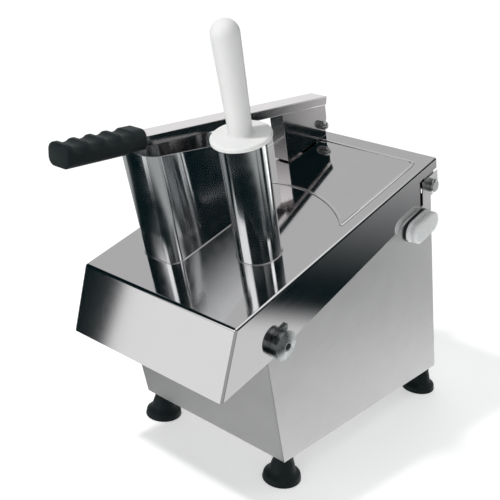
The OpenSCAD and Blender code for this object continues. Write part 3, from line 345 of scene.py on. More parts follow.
def finished(name, mesh, slot, body, nodes, angle=35.0):
    """Puts a mesh in the scene: smooth, in its material, riding on its body in place of its nodes."""
    mesh.name = name
    mesh.materials.clear()
    mesh.materials.append(FINISHES[slot])
    for face in mesh.polygons:
        face.use_smooth = True
        face.material_index = 0
    if not mesh.has_custom_normals:
        mesh.set_sharp_from_angle(angle=radians(angle))
    piece = bpy.data.objects.new(name, mesh)
    bpy.context.scene.collection.objects.link(piece)
    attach(piece, body)
    if nodes:
        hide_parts(*nodes)
    return piece


def evaluated(mesh, modifiers):
    """A mesh after a list of modifiers, each a kind and its settings."""
    holder = bpy.data.objects.new("holder", mesh)
    bpy.context.scene.collection.objects.link(holder)
    for kind, settings in modifiers:
        modifier = holder.modifiers.new(kind.lower(), kind)
        for key, value in settings.items():
            setattr(modifier, key, value)
    depsgraph = bpy.context.evaluated_depsgraph_get()
    depsgraph.update()
    result = bpy.data.meshes.new_from_object(holder.evaluated_get(depsgraph), depsgraph=depsgraph)
    bpy.data.objects.remove(holder)
    return result


def merged(node):
    """A copy of a solid's mesh with its loose triangles joined into flat faces."""
    mesh = frame["nodes"][node].data.copy()
    bm = bmesh.new()
    bm.from_mesh(mesh)
    bmesh.ops.remove_doubles(bm, verts=bm.verts, dist=1e-6)
    bmesh.ops.dissolve_limit(bm, angle_limit=radians(0.6), verts=bm.verts, edges=bm.edges)
    bm.to_mesh(mesh)
    bm.free()
    if "custom_normal" in mesh.attributes:
        mesh.attributes.remove(mesh.attributes["custom_normal"])
    return mesh


BODY_OF = {node: body for body, members in frame["record"]["behaviour"]["bodies"].items() for node in members}
SLOT_OF = {part["node"]: part["material_slot"] for part in frame["record"]["subparts"]}


def dress(node, edge, segments=2):
    """Replaces a solid by a copy with rounded edges, shaded flat on its flats and round on its rounds."""
    mesh = merged(node)
    for face in mesh.polygons:
        face.use_smooth = True
    mesh.set_sharp_from_angle(angle=radians(50))
    mesh = evaluated(mesh, [
        ("BEVEL", {"width": edge * MM, "segments": segments, "limit_method": "ANGLE",
                   "angle_limit": radians(38), "use_clamp_overlap": True, "miter_outer": "MITER_ARC"}),
        ("WEIGHTED_NORMAL", {"keep_sharp": True, "weight": 60}),
    ])
    return finished(node + "_finished", mesh, SLOT_OF[node], BODY_OF[node], [node])


def mesh_of(bm, place):
    """Closes a bmesh: doubles merged, normals outwards, put in place in the shared frame."""
    bmesh.ops.remove_doubles(bm, verts=bm.verts, dist=1e-4)
    bmesh.ops.recalc_face_normals(bm, faces=bm.faces)
    mesh = bpy.data.meshes.new("piece")
    bm.to_mesh(mesh)
    bm.free()
    mesh.transform(place)
    return mesh


def loft(rings, closed=False):
    """A skin over rings with the same number of points, capped or closed on its first ring."""
    bm = bmesh.new()
    rows = [[bm.verts.new(p) for p in ring] for ring in rings]
    pairs = list(zip(rows, rows[1:])) + ([(rows[-1], rows[0])] if closed else [])
    for low, high in pairs:
        for i in range(len(low)):
            j = (i + 1) % len(low)
            bm.faces.new((low[i], low[j], high[j], high[i]))
    if not closed:
        bm.faces.new(rows[0])
        bm.faces.new(rows[-1])
    return bm


def lathe(profile, steps, closed=False):
    """A turned skin about Z from points of radius and height. Points on the axis close it."""
    bm = bmesh.new()
    rows = []
    for r, z in profile:
        if r < 1e-6:
            rows.append([bm.verts.new((0, 0, z))])
        else:
            rows.append([bm.verts.new((r * cos(2 * pi * i / steps), r * sin(2 * pi * i / steps), z))
                         for i in range(steps)])
    pairs = list(zip(rows, rows[1:])) + ([(rows[-1], rows[0])] if closed else [])
    for low, high in pairs:
        for i in range(steps):
            j = (i + 1) % steps
            corners = [low[i % len(low)], low[j % len(low)], high[j % len(high)], high[i % len(high)]]
            corners = [v for n, v in enumerate(corners) if v not in corners[:n]]
            if len(corners) > 2:
                bm.faces.new(corners)
    return bm


def round_corners(points, radii, steps=5):
    """A profile with its inner corners rounded to the given radii."""
    out = [points[0]]
    for before, here, after, r in zip(points, points[1:], points[2:], radii):
        a, b = Vector(before) - Vector(here), Vector(after) - Vector(here)
        turn = acos(max(-1.0, min(1.0, a.normalized().dot(b.normalized()))))
        if r <= 0 or turn > pi - 0.02:
            out.append(here)
            continue
        reach = min(r / tan(turn / 2), 0.49 * a.length, 0.49 * b.length)
        p0, p1 = Vector(here) + a.normalized() * reach, Vector(here) + b.normalized() * reach
        inwards = (a.normalized() + b.normalized()).normalized()
        middle = Vector(here) + inwards * hypot(reach, reach * tan(turn / 2))
        radius = (p0 - middle).length
        for n in range(steps + 1):
            q = p0.lerp(p1, n / steps) - middle
            out.append(tuple(middle + q.normalized() * radius))
    out.append(points[-1])
    return out


def map_along(mesh, place, centre):
    """Gives a tube a map that runs along its axis and round its centre, for the direction of its polish."""
    layer = mesh.uv_layers.new(name="along_axis")
    back = place.inverted()
    flat = [back @ v.co for v in mesh.vertices]
    for loop, spot in zip(mesh.loops, layer.data):
        p = flat[loop.vertex_index]
        spot.uv = (p.z / 100, atan2(p.y - centre[1], p.x - centre[0]))


def swept_tree(name):
    """Nodes that sweep an oval section along a curve, with its width and height as inputs."""
    tree = bpy.data.node_groups.new(name, "GeometryNodeTree")
    for label, kind in (("Geometry", "NodeSocketGeometry"), ("Width", "NodeSocketFloat"),
                        ("Height", "NodeSocketFloat"), ("Material", "NodeSocketMaterial")):
        tree.interface.new_socket(label, in_out="INPUT", socket_type=kind)
    tree.interface.new_socket("Geometry", in_out="OUTPUT", socket_type="NodeSocketGeometry")
    source = add(tree, "NodeGroupInput").outputs
    oval = add(tree, "GeometryNodeCurvePrimitiveCircle", None,
               {"Resolution": 16, "Radius": 1.0}).outputs["Curve"]
    half = add(tree, "ShaderNodeMath", {"operation": "MULTIPLY"}, {0: source["Width"], 1: 0.5}).outputs[0]
    scale = add(tree, "ShaderNodeCombineXYZ", None, {"X": half, "Y": source["Height"], "Z": 1.0}).outputs[0]
    section = add(tree, "GeometryNodeTransform", None, {"Geometry": oval, "Scale": scale}).outputs[0]
    skin = add(tree, "GeometryNodeCurveToMesh", None,
               {"Curve": source["Geometry"], "Profile Curve": section, "Fill Caps": True}).outputs[0]
    real = add(tree, "GeometryNodeRealizeInstances", None, {"Geometry": skin}).outputs[0]
    done = add(tree, "GeometryNodeSetMaterial", None,
               {"Geometry": real, "Material": source["Material"]}).outputs[0]
    add(tree, "NodeGroupOutput", None, {"Geometry": done})
    return tree


def spread_tree(name):
    """Nodes that set a piece out on the points of a mesh."""
    tree = bpy.data.node_groups.new(name, "GeometryNodeTree")
    for label, kind in (("Geometry", "NodeSocketGeometry"), ("Piece", "NodeSocketObject"),
                        ("Turn", "NodeSocketVector"), ("Material", "NodeSocketMaterial")):
        tree.interface.new_socket(label, in_out="INPUT", socket_type=kind)
    tree.interface.new_socket("Geometry", in_out="OUTPUT", socket_type="NodeSocketGeometry")
    source = add(tree, "NodeGroupInput").outputs
    piece = add(tree, "GeometryNodeObjectInfo", None, {"Object": source["Piece"]}).outputs["Geometry"]
    turn = add(tree, "FunctionNodeEulerToRotation", None, {0: source["Turn"]}).outputs[0]
    spread = add(tree, "GeometryNodeInstanceOnPoints", None,
                 {"Points": source["Geometry"], "Instance": piece, "Rotation": turn}).outputs[0]
    real = add(tree, "GeometryNodeRealizeInstances", None, {"Geometry": spread}).outputs[0]
    done = add(tree, "GeometryNodeSetMaterial", None,
               {"Geometry": real, "Material": source["Material"]}).outputs[0]
    add(tree, "NodeGroupOutput", None, {"Geometry": done})
    return tree


def run_nodes(source, tree, inputs):
    """The plain mesh that a node tree makes of an object's data, with the tree's named inputs set."""
    holder = bpy.data.objects.new("holder", source)
    bpy.context.scene.collection.objects.link(holder)
    modifier = holder.modifiers.new("nodes", "NODES")
    modifier.node_group = tree
    for item in tree.interface.items_tree:
        if item.item_type == "SOCKET" and item.in_out == "INPUT" and item.name in inputs:
            modifier[item.identifier] = inputs[item.name]
    holder.update_tag()
    depsgraph = bpy.context.evaluated_depsgraph_get()
    depsgraph.update()
    mesh = bpy.data.meshes.new_from_object(holder.evaluated_get(depsgraph), depsgraph=depsgraph)
    bpy.data.objects.remove(holder)
    return mesh


def swept(paths, width, height, slot, place):
    """A bead of oval section along flat paths, drawn in their own plane."""
    curve = bpy.data.curves.new("paths", "CURVE")
    curve.dimensions = "3D"
    curve.twist_mode = "Z_UP"
    for points, closed in paths:
        spline = curve.splines.new("POLY")
        spline.points.add(len(points) - 1)
        for point, p in zip(spline.points, points):
            point.co = (p[0], p[1], 0.0, 1)
        spline.use_cyclic_u = closed
    mesh = run_nodes(curve, swept_tree("bead_along_path"),
                     {"Width": width, "Height": height, "Material": FINISHES[slot]})
    mesh.transform(place)
    return mesh


def spread(piece, points, turn, slot, place):
    """One piece set out on points."""
    template = bpy.data.objects.new("template", piece)
    spots = bpy.data.meshes.new("spots")
    spots.from_pydata(points, [], [])
    mesh = run_nodes(spots, spread_tree("set_out_on_points"),
                     {"Piece": template, "Turn": turn, "Material": FINISHES[slot]})
    bpy.data.objects.remove(template)
    mesh.transform(place)
    return mesh


class PieceOperator(bpy.types.Operator):
    """Base of the operators that make the pieces and the stage."""
    bl_options = {"REGISTER"}


class CUTTER_OT_casing(PieceOperator):
    """Dress the body's panels, the deck and the cutting chamber."""
    bl_idname = "cutter.casing"
    bl_label = "Casing"

    def execute(self, context):
        edge = sizes().sheet_edge
        for node in ("left_side_panel", "right_side_panel", "front_panel", "deck_plate", "rear_panel",
                     "base_plate", "chamber_band"):
            dress(node, edge)
        dress("safety_sensor", 1.2)
        dress("cable_gland", 0.6)
        return {"FINISHED"}


class CUTTER_OT_feet(PieceOperator):
    """Turn a bell foot and set it out under the four corners."""
    bl_idname = "cutter.feet"
    bl_label = "Feet"

    def execute(self, context):
        outline = round_corners(
            [(4.05, 9), (9, 9), (9, 0), (24.6, 0), (25.5, 1.2), (24.2, 8.8), (17.6, 13.6), (14.4, 25.5),
             (13, 29.5), (13, 38), (4.05, 38)],
            [0.3, 0.8, 1.0, 1.0, 3.0, 7.0, 30.0, 6.0, 0.8], 6)
        foot = mesh_of(lathe(outline, 64, closed=True), Matrix.Identity(4))
        mesh = spread(foot, FOOT_SPOTS, (0, 0, 0), "black_rubber", ON_FLOOR)
        finished("bell_feet", mesh, "black_rubber", "casing", ["rubber_feet"])
        dress("foot_bolts", 0.4)
        return {"FINISHED"}


SIDE_VIEW = ((0, 0), HOOD, (BODY_FRONT, -FLANGE_FRONT), (HINGE_CUT_S, -FLANGE_REAR),
             (HINGE_CUT_S, -HINGE_STRIP), (LID_LEN, -HINGE_STRIP), (LID_LEN, 0))


def arc(cx, cy, r, start, end, steps):
    """Points on an arc between two angles in degrees."""
    angles = [radians(start + (end - start) * n / steps) for n in range(steps + 1)]
    return [(cx + r * cos(a), cy + r * sin(a)) for a in angles]


def tube_outline(grow):
    """The round tube from above, grown all round."""
    return arc(TUBE_X, DISC_S, TUBE_R + grow, 0, 360, 96)[:-1]


def mouth_outline(inset):
    """The large mouth from above: a flat right side, round corners and a curved left side."""
    r, corner, side = MOUTH_R - inset, MOUTH_CORNER - inset, MOUTH_SIDE - inset
    front, back = MOUTH_FRONT + inset, MOUTH_BACK - inset
    points = arc(side - corner, front + corner, corner, -90, 0, 10)
    points += arc(side - corner, back - corner, corner, 0, 90, 10)
    # The two corners between the curve and the flat ends are eased by a parabola
    lean = asin((DISC_S - front) / r)
    trimmed = degrees(lean - 2 * asin(MOUTH_EASE / (2 * r)))
    curve = arc(0, DISC_S, r, 180 - trimmed, 180 + trimmed, 64)
    bends = []
    for near, flat_s in ((curve[0], back), (curve[-1], front)):
        tip = Vector((-r * cos(lean), flat_s))
        flat = tip + Vector((MOUTH_EASE, 0))
        bend = []
        for way in [step / 6 for step in range(6)]:
            bend.append(tuple(flat.lerp(tip, way).lerp(tip.lerp(Vector(near), way), way)))
        bends.append(bend)
    return points + bends[0] + curve + bends[1][::-1]


def rim_height(s):
    """Height of the large mouth's rim, which is cut level, above the sloping lid."""
    return MOUTH_RIM - (s - MOUTH_FRONT) * tan(radians(SLOPE))


def lid_shell():
    """The lid folded from one sheet: top plate, hood and flanges, with holes for the mouths and the lock."""
    s = sizes()
    bm = bmesh.new()
    left, right = [[bm.verts.new((x, *p)) for p in SIDE_VIEW] for x in (-LID_HALF, LID_HALF)]
    top = (left[0], right[0], right[-1], left[-1])
    hood = (left[0], left[1], right[1], right[0])
    faces = [bm.faces.new(corners) for corners in (top, hood, right, left[::-1])]
    bmesh.ops.recalc_face_normals(bm, faces=faces)
    if faces[0].normal.z < 0:
        bmesh.ops.reverse_faces(bm, faces=faces)
    folds = [e for e in bm.edges if len(e.link_faces) == 2]
    bmesh.ops.bevel(bm, geom=folds, offset=s.lid_bend, segments=5, profile=0.5, affect="EDGES",
                    clamp_overlap=True)
    mesh = bpy.data.meshes.new("lid")
    bm.to_mesh(mesh)
    bm.free()
    cutters = []
    through, past_flange = 6, -140
    for outline in (mouth_outline(0), tube_outline(0)):
        rings = [[(x, y, w) for x, y in outline] for w in (-through, through)]
        cutters.append(mesh_of(loft(rings), Matrix.Identity(4)))
    slot = arc(*LOCK, LOCK_SLOT_R, 0, 180, 24)
    slot += [(LOCK[0] - LOCK_SLOT_R, past_flange), (LOCK[0] + LOCK_SLOT_R, past_flange)]
    rings = [[(x, y, w) for y, w in slot] for x in (LID_HALF - 5, LID_HALF + 5)]
    cutters.append(mesh_of(loft(rings), Matrix.Identity(4)))
    steps = [("SOLIDIFY", {"thickness": s.lid_sheet, "offset": -1.0, "use_even_offset": True})]
    holders = []
    for cutter in cutters:
        holder = bpy.data.objects.new("cutter", cutter)
        bpy.context.scene.collection.objects.link(holder)
        holders.append(holder)
        steps.append(("BOOLEAN", {"object": holder, "operation": "DIFFERENCE", "solver": "EXACT"}))
    for face in mesh.polygons:
        face.use_smooth = True
    mesh = evaluated(mesh, steps)
    for holder in holders:
        bpy.data.objects.remove(holder)
    mesh.set_sharp_from_angle(angle=radians(35))
    mesh = evaluated(mesh, [("WEIGHTED_NORMAL", {"keep_sharp": True, "weight": 80})])
    mesh.transform(ON_SLOPE)
    return mesh


def bead_paths():
    """The embossed bead behind the mouths: an arc round the disc, both sides, and the rear up to the lug."""
    inset, rear_inset, r, corner, lug_gap = 18, 24, 143, 10, 10
    side, rear = LID_HALF - inset, LID_LEN - rear_inset
    lean = degrees(asin(side / r))
    front = arc(0, DISC_S, r, 90 - lean, 90 + lean, 48)
    left = [(-side, rear - corner)] + arc(-side + corner, rear - corner, corner, 180, 90, 8)
    right = arc(side - corner, rear - corner, corner, 90, 0, 8) + [(side, front[0][1])]
    return [([(LEVER_X + lug_gap, rear)] + right + front + left + [(LEVER_X - lug_gap, rear)], False)]


class CUTTER_OT_lid(PieceOperator):
    """Fold the lid, emboss its bead and dress its hinge lugs and magnet."""
    bl_idname = "cutter.lid"
    bl_label = "Lid"

    def execute(self, context):
        s = sizes()
        finished("folded_lid", lid_shell(), "lid_steel", "lid", ["lid_shell"])
        bead = swept(bead_paths(), s.bead_width, s.bead_height, "lid_steel", ON_SLOPE)
        finished("embossed_bead", bead, "lid_steel", "lid", [])
        for node in ("hinge_lugs", "safety_magnet"):
            dress(node, 0.5)
        return {"FINISHED"}


class CUTTER_OT_mouths(PieceOperator):
    """Roll the large mouth and the round tube and weld them to the lid."""
    bl_idname = "cutter.mouths"
    bl_label = "Mouths"

    def execute(self, context):
        s = sizes()
        wall = s.mouth_wall
        lip = 0.4
        rings = []
        for inset, drop in ((0, None), (0, lip), (lip * 0.3, lip * 0.3), (lip, 0), (wall - lip, 0),
                            (wall - lip * 0.3, lip * 0.3), (wall, lip), (wall, None)):
            rings.append([(x, y, -MOUTH_DEPTH if drop is None else rim_height(y) - drop)
                          for x, y in mouth_outline(inset)])
        mouth = mesh_of(loft(rings, closed=True), ON_SLOPE)
        map_along(mouth, ON_SLOPE, (MOUTH_MIDDLE_X, DISC_S))
        finished("rolled_feed_mouth", mouth, "mouth_steel", "lid", ["feed_mouth"], 32)
        inner, seam = TUBE_R - wall, 60
        profile = round_corners([(inner, seam), (inner, -MOUTH_DEPTH), (TUBE_R, -MOUTH_DEPTH),
                                 (TUBE_R, TUBE_TOP), (inner, TUBE_TOP), (inner, seam)],
                                [0.3, 0.3, 0.6, 0.6], 4)
        tube = mesh_of(lathe(profile[:-1], s.lathe_steps, closed=True), ON_TUBE)
        map_along(tube, ON_TUBE, (0, 0))
        finished("rolled_round_tube", tube, "mouth_steel", "lid", ["round_tube"], 32)
        outside, weld_height = 0.3, 0.9
        welds = swept([(mouth_outline(-outside), True), (tube_outline(outside), True)],
                      s.weld_width, weld_height, "lever_steel", ON_SLOPE)
        finished("weld_beads", welds, "lever_steel", "lid", [])
        return {"FINISHED"}


class CUTTER_OT_pestle(PieceOperator):
    """Turn the pestle with its flange and domed handle."""
    bl_idname = "cutter.pestle"
    bl_label = "Pestle"

    def execute(self, context):
        s = sizes()
        stem_r, flange_r, foot_r, dome_r = 25.5, 35.5, 13.7, 16
        low, seat, flange_top, dome_w = -26, 153.3, 159.3, 274.8
        body = [(0, low), (stem_r, low), (stem_r, seat), (flange_r, seat), (flange_r, flange_top),
                (foot_r, flange_top), (dome_r, dome_w), (15.9, 278)]
        profile = round_corners(body, [2.0, 0, 1.6, 2.2, s.pestle_fillet, 0], 6)[:-1]
        profile += arc(0, dome_w, dome_r, 6, 84, 13) + [(0, dome_w + dome_r)]
        mesh = mesh_of(lathe(profile, s.lathe_steps), ON_TUBE)
        finished("turned_pestle", mesh, "white_plastic", "pestle", ["pestle"], 50)
        return {"FINISHED"}


def wave_drop(y, depth, pitch):
    """How far a finger wave lowers the grip's top, a distance from its front end."""
    half = 0.4 * pitch
    r = (half * half + depth * depth) / (2 * depth)
    drop = 0.0
    for n in range(4):
        gap = abs(y - (n + 0.7) * pitch)
        if gap < half:
            drop = max(drop, sqrt(r * r - gap * gap) - (r - depth))
    return drop


def clamped(value):
    """A value kept between nought and one."""
    return max(0.0, min(1.0, value))


def grip_rings(depth, pitch):
    """The grip as rings along the lever: rounded ends, finger waves on top, and cut away over the mouth."""
    length, low, high, half, corner, end = 113.0, 23.75, 50.75, 18.0, 10.0, 2.4
    wave_from, wave_over = 0.42, 0.42
    rim_low, rim_step, rim_y, rim_run = 27.4, 4, 90.5, 4
    count = 114
    rings = []
    for n in range(count + 1):
        y = length * n / count
        near = min(y, length - y)
        inset = end - sqrt(max(0.0, end * end - (end - near) ** 2)) if near < end else 0.0
        drop = wave_drop(y, depth, pitch)
        rim = rim_low - clamped((rim_y - y) / rim_run) * rim_step
        ring = []
        for side, level, start in ((1, high - corner, 0), (-1, high - corner, 90),
                                   (-1, low + corner, 180), (1, low + corner, 270)):
            for x, z in arc(side * (half - corner), level, corner - inset, start, start + 90, 12):
                fall = clamped(((z - low) / (high - low) - wave_from) / wave_over)
                z -= drop * fall * fall * (3 - 2 * fall)
                ring.append((x, y - LEVER_LEN, max(z, rim)))
        rings.append(ring)
    return rings


class CUTTER_OT_lever(PieceOperator):
    """Dress the lever's bar, box and pusher, and mould its grip."""
    bl_idname = "cutter.lever"
    bl_label = "Lever"

    def execute(self, context):
        s = sizes()
        for node, edge, segments in (("lever_bar", s.bar_edge, 3), ("lever_box", s.box_edge, 4),
                                     ("pusher_stem", 1.0, 2), ("pusher_plate", 1.5, 3),
                                     ("pusher_screws", 0.4, 2), ("pivot_lug", 0.6, 2),
                                     ("pivot_bolt", 0.8, 2), ("pivot_nut", 0.5, 3)):
            dress(node, edge, segments)
        mesh = mesh_of(loft(grip_rings(s.wave_depth, s.wave_pitch)), ON_LEVER)
        finished("moulded_grip", mesh, "black_rubber", "lever", ["lever_grip"], 60)
        return {"FINISHED"}


class CUTTER_OT_lock(PieceOperator):
    """Turn the lock knob and dress its pointed tab and its stud."""
    bl_idname = "cutter.lock"
    bl_label = "Lid lock"

    def execute(self, context):
        profile = round_corners(
            [(4.05, 131), (4.05, 125.3), (9.25, 125.3), (9.25, 127.8), (18.5, 127.8), (18.5, 135.5),
             (6.17, 138.3), (4.05, 138.3), (4.05, 131)],
            [0.3, 0.3, 0.1, 0.5, 0.8, 0.7, 0.7], 4)
        knob = lathe(profile[:-1], sizes().lathe_steps, closed=True)
        axis = ON_SLOPE @ Matrix.Translation((0, *LOCK)) @ Matrix.Rotation(radians(90), 4, "Y")
        finished("turned_knob", mesh_of(knob, axis), "knob_steel", "lock", ["lock_knob"], 30)
        dress("lock_tab", 0.5)
        dress("lock_stud", 0.5)
        return {"FINISHED"}


class CUTTER_OT_switch(PieceOperator):
    """Mould the switch boot and dress its plate, block and buttons."""
    bl_idname = "cutter.switch"
    bl_label = "Switch"

    def execute(self, context):
        inner = [(2.0, 140.4), (8.6, 140.4), (9.6, 139.4)]
        outer = round_corners([(9.6, 126.4), (15.6, 126.4), (15.6, 130.9), (11.6, 130.9), (11.6, 134.4),
                               (15.0, 134.4), (15.0, 142.4), (2.0, 142.4)],
                              [0.6, 1.8, 1.2, 1.2, 1.6, 3.4], 5)
        rings = []
        for r, x in inner + outer:
            outline = arc(SWITCH_ENDS[1], SWITCH_W, r, -90, 90, 20)
            outline += arc(SWITCH_ENDS[0], SWITCH_W, r, 90, 270, 20)
            rings.append([(x, y, w) for y, w in outline])
        boot = mesh_of(loft(rings), ON_SLOPE)
        finished("silicone_boot", boot, "boot_silicone", "casing", ["switch_boot"], 50)
        dress("switch_plate", 0.5)
        for node in ("switch_block", "start_button", "stop_button"):
            dress(node, 0.8)
        return {"FINISHED"}


class CUTTER_OT_fasteners(PieceOperator):
    """Dress the hinge bolts, and set out slotted screws on the rear panel."""
    bl_idname = "cutter.fasteners"
    bl_label = "Fasteners"

    def execute(self, context):
        dress("hinge_bolts", 0.9, 3)
        dress("hex_bolts", 0.5)
        low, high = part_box("rear_panel_screws")
        back = ON_SLOPE.inverted()
        middle = back @ ((low + high) / 2)
        # The screws' points, sorted by corner of the panel
        corners = {}
        for v in frame["nodes"]["rear_panel_screws"].data.vertices:
            p = back @ v.co
            corners.setdefault((p.x > 0, p.z > middle.z), []).append(p)
        points = []
        for group in corners.values():
            xs, zs = [p.x for p in group], [p.z for p in group]
            points.append(((min(xs) + max(xs)) / 2, BODY_REAR, (min(zs) + max(zs)) / 2))
        head = round_corners([(0, -2.4), (2, -2.4), (2, 0), (4, 0), (3.4, 1.6), (1.2, 2.0), (1.0, 1.0),
                              (0, 1.0)], [0, 0, 0.3, 0.8, 0.4, 0.2], 3)
        screw = mesh_of(lathe(head, 32), Matrix.Identity(4))
        mesh = spread(screw, points, (radians(-90), 0, 0), "fastener_steel", ON_SLOPE)
        finished("panel_screws", mesh, "fastener_steel", "casing", ["rear_panel_screws"], 30)
        return {"FINISHED"}


class CUTTER_OT_cutting(PieceOperator):
    """Dress the cutting disc, its blade, the ejector and the nut."""
    bl_idname = "cutter.cutting"
    bl_label = "Cutting disc"

    def execute(self, context):
        for node, edge in (("cutting_disc", 0.6), ("cutting_blade", 0.1), ("blade_screws", 0.3),
                           ("ejector_disc", 0.6), ("disc_nut", 0.8), ("drive_pin", 0.3)):
            dress(node, edge)
        return {"FINISHED"}


class CUTTER_OT_drive(PieceOperator):
    """Dress the shaft, bearings, pulleys, belt and motor."""
    bl_idname = "cutter.drive"
    bl_label = "Drive"

    def execute(self, context):
        for node in ("bearing_housing", "upper_bearing", "lower_bearing", "shaft_seal", "motor_bracket",
                     "motor_housing", "motor_stator", "motor_end_bell", "motor_rotor", "motor_shaft",
                     "motor_pulley", "drive_belt", "disc_shaft", "disc_pulley", "shaft_circlip",
                     "run_capacitor"):
            dress(node, 0.4)
        return {"FINISHED"}


class CUTTER_OT_stage(PieceOperator):
    """Set the camera, a pale floor and soft studio light."""
    bl_idname = "cutter.stage"
    bl_label = "Stage"

    def execute(self, context):
        scene = context.scene
        scene.view_settings.view_transform = "Standard"
        scene.view_settings.look = "None"
        self.camera(scene)
        self.floor(scene)
        self.world(scene)
        self.lamps(scene)
        return {"FINISHED"}

    def camera(self, scene):
        """The photograph's camera: how far it is turned, raised and rolled about a point in the machine."""
        turn, rise, roll = radians(38.91), radians(20.37), radians(4.19)
        distance, aim = 1163.8, Vector((-22.98 + MIDDLE_X, 81.47 + FLOOR_Y, 261.53))
        back = Vector((sin(turn) * cos(rise), -cos(turn) * cos(rise), sin(rise)))
        right = Vector((cos(turn), sin(turn), 0))
        up = back.cross(right)
        level, top = right * cos(roll) + up * sin(roll), up * cos(roll) - right * sin(roll)
        place = Matrix((level, top, back)).transposed().to_4x4()
        place.translation = (aim + back * distance) * MM
        lens = bpy.data.cameras.new("studio_camera")
        lens.lens, lens.sensor_width, lens.sensor_fit = 62.745, 36.0, "HORIZONTAL"
        lens.clip_start, lens.clip_end = 0.01, 50.0
        camera = bpy.data.objects.new("studio_camera", lens)
        camera.matrix_world = place
        scene.collection.objects.link(camera)
        scene.camera = camera

    def floor(self, scene):
        """A white table that glows a little, so that its edge melts into the white behind it."""
        mesh = bpy.data.meshes.new("table")
        mesh.from_pydata([(-1, -1, 0), (1, -1, 0), (1, 1, 0), (-1, 1, 0)], [], [(0, 1, 2, 3)])
        material = bpy.data.materials.new("white_table")
        material.use_nodes = True
        tree = material.node_tree
        shader = tree.nodes["Principled BSDF"]
        shader.inputs["Base Color"].default_value = (0.9, 0.9, 0.9, 1)
        shader.inputs["Roughness"].default_value = 0.9
        shader.inputs["Specular IOR Level"].default_value = 0.0
        shader.inputs["Emission Color"].default_value = (1, 1, 1, 1)
        shader.inputs["Emission Strength"].default_value = 0.46
        mesh.materials.append(material)
        table = bpy.data.objects.new("table", mesh)
        table.visible_glossy = False
        scene.collection.objects.link(table)

    def world(self, scene):
        """White behind the machine, and for all else a dark room hung with pale cards."""
        world = bpy.data.worlds.new("studio")
        scene.world = world
        world.use_nodes = True
        tree = world.node_tree
        tree.nodes.clear()
        way = add(tree, "ShaderNodeTexCoord").outputs["Generated"]
        ray = add(tree, "ShaderNodeSeparateXYZ", None, {0: way}).outputs
        ahead = add(tree, "ShaderNodeMath", {"operation": "MULTIPLY"}, {0: ray["Y"], 1: -1.0}).outputs[0]
        turn = add(tree, "ShaderNodeMath", {"operation": "ARCTAN2"}, {0: ray["X"], 1: ahead}).outputs[0]
        rise = add(tree, "ShaderNodeMath", {"operation": "ARCSINE"}, {0: ray["Z"]}).outputs[0]
        total = 0.0
        for start, end, low, high, side_edge, level_edge, strength in CARDS:
            card = strength
            for angle, edge, soft, sense in ((turn, start, side_edge, 1), (turn, end, side_edge, -1),
                                             (rise, low, level_edge, 1), (rise, high, level_edge, -1)):
                if abs(edge) == OPEN:
                    continue
                fade = add(tree, "ShaderNodeMapRange", {"interpolation_type": "SMOOTHSTEP"},
                           {"Value": angle, "From Min": radians(edge - sense * soft / 2),
                            "From Max": radians(edge + sense * soft / 2), "To Min": 0.0,
                            "To Max": 1.0}).outputs[0]
                card = add(tree, "ShaderNodeMath", {"operation": "MULTIPLY"}, {0: fade, 1: card}).outputs[0]
            total = add(tree, "ShaderNodeMath", {"operation": "ADD"}, {0: card, 1: total}).outputs[0]
        seen = add(tree, "ShaderNodeLightPath").outputs["Is Camera Ray"]
        level = add(tree, "ShaderNodeMix", {"data_type": "FLOAT"},
                    {0: seen, 2: total, 3: WHITE_BEHIND}).outputs[0]
        glow = add(tree, "ShaderNodeBackground", None, {"Color": (1, 1, 1, 1), "Strength": level}).outputs[0]
        room = add(tree, "ShaderNodeBackground", None,
                   {"Color": (0.25, 0.85, 1, 1), "Strength": ROOM_GLOW}).outputs[0]
        both = add(tree, "ShaderNodeAddShader", None, {0: glow, 1: room}).outputs[0]
        add(tree, "ShaderNodeOutputWorld", None, {"Surface": both})

    def lamps(self, scene):
        """A small key for the clear shadow and a broad fill, in metres and watts."""
        for name, place, aim, width, height, power in (
                ("key_softbox", (-0.5, -1.2, 2.25), (0, 0, 0), 0.16, 0.16, 25),
                ("fill_softbox", (0.9, -1.9, 0.5), (0, 0, 0.35), 1.2, 0.6, 12),
        ):
            lamp = bpy.data.lights.new(name, "AREA")
            lamp.shape, lamp.size, lamp.size_y, lamp.energy = "RECTANGLE", width, height, power
            holder = bpy.data.objects.new(name, lamp)
            holder.location = place
            holder.rotation_euler = (Vector(aim) - Vector(place)).to_track_quat("-Z", "Y").to_euler()
            holder.visible_camera = False
            holder.visible_glossy = False
            scene.collection.objects.link(holder)


# Brightness of the white behind the machine and of the dark room's faint glow
WHITE_BEHIND, ROOM_GLOW = 1.05, 0.012
# An edge at this angle leaves its card open on that side
OPEN = 200
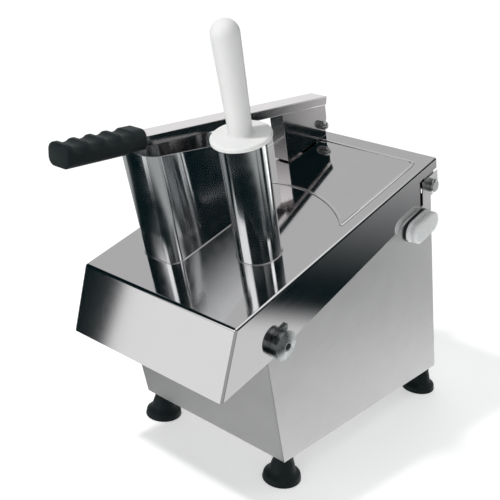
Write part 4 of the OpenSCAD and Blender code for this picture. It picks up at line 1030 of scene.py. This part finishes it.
# Pale cards round the machine, in degrees from straight in front and above the horizon: left and right end,
# lower and upper edge, softness of the sides and of the lower and upper edge, brightness
CARDS = (
    (-43, -4, 15.5, 34, 6, 7, 1.5),
    (-30, -4, 8, 16, 6, 5, 1.2),
    (-43.3, -4, -25, 3, 1.0, 6, 0.98),
    (-166, -98, 6, 60, 10, 8, 0.56),
    (-166, -120, 3, 28, 10, 8, 0.4),
    (-OPEN, OPEN, 59, OPEN, 1, 20, 1.0),
    (82, 97, 28, 40, 6, 6, 2.0),
    (136, OPEN, -OPEN, -24.6, 0.1, 2.2, 0.78),
    (100, OPEN, -OPEN, -38, 8, 8, 1.3),
    (-OPEN, -112, -OPEN, -29, 8, 5, 0.9),
    (-58, -45, -OPEN, -41, 5, 5, 1.0),
    (-120, -58, -OPEN, -46, 10, 6, 0.45),
    (143.2, 168, -14, 20, 4.5, 18, 0.8),
    (143.2, 168, -6, 34, 4.5, 8, 1.0),
    (158, OPEN, -34, -7, 6, 6, 1.35),
    (-3, 106, -25, 7, 4, 8, 0.42),
    (108, 127, -19, 6, 6, 6, 0.42),
    (-166, -56, -25, 2, 6, 8, 0.48),
    (48, 100, 12, 24, 6, 6, 0.25),
)


OPERATORS = (CUTTER_OT_casing, CUTTER_OT_feet, CUTTER_OT_lid, CUTTER_OT_mouths, CUTTER_OT_pestle,
             CUTTER_OT_lever, CUTTER_OT_lock, CUTTER_OT_switch, CUTTER_OT_fasteners, CUTTER_OT_cutting,
             CUTTER_OT_drive, CUTTER_OT_stage)


class CUTTER_PT_panel(bpy.types.Panel):
    """Lists the pieces of the cutter and what can be changed on them."""
    bl_idname = "CUTTER_PT_panel"
    bl_label = "Vegetable cutter"
    bl_space_type = "VIEW_3D"
    bl_region_type = "UI"
    bl_category = "Cutter"

    def draw(self, context):
        for operator in OPERATORS:
            self.layout.operator(operator.bl_idname)
        for group in (context.scene.cutter_sizes, context.scene.cutter_colours):
            for name in group.__annotations__:
                self.layout.prop(group, name)


CLASSES = (CutterSizes, CutterColours) + OPERATORS + (CUTTER_PT_panel,)


def register():
    for item in CLASSES:
        bpy.utils.register_class(item)
    bpy.types.Scene.cutter_sizes = PointerProperty(type=CutterSizes)
    bpy.types.Scene.cutter_colours = PointerProperty(type=CutterColours)


def unregister():
    del bpy.types.Scene.cutter_colours
    del bpy.types.Scene.cutter_sizes
    for item in reversed(CLASSES):
        bpy.utils.unregister_class(item)


def main():
    """Makes the finishes, every piece and the stage."""
    register()
    make_finishes()
    for operator in OPERATORS:
        group, name = operator.bl_idname.split(".")
        getattr(getattr(bpy.ops, group), name)()


if __name__ == "__main__":
    main()
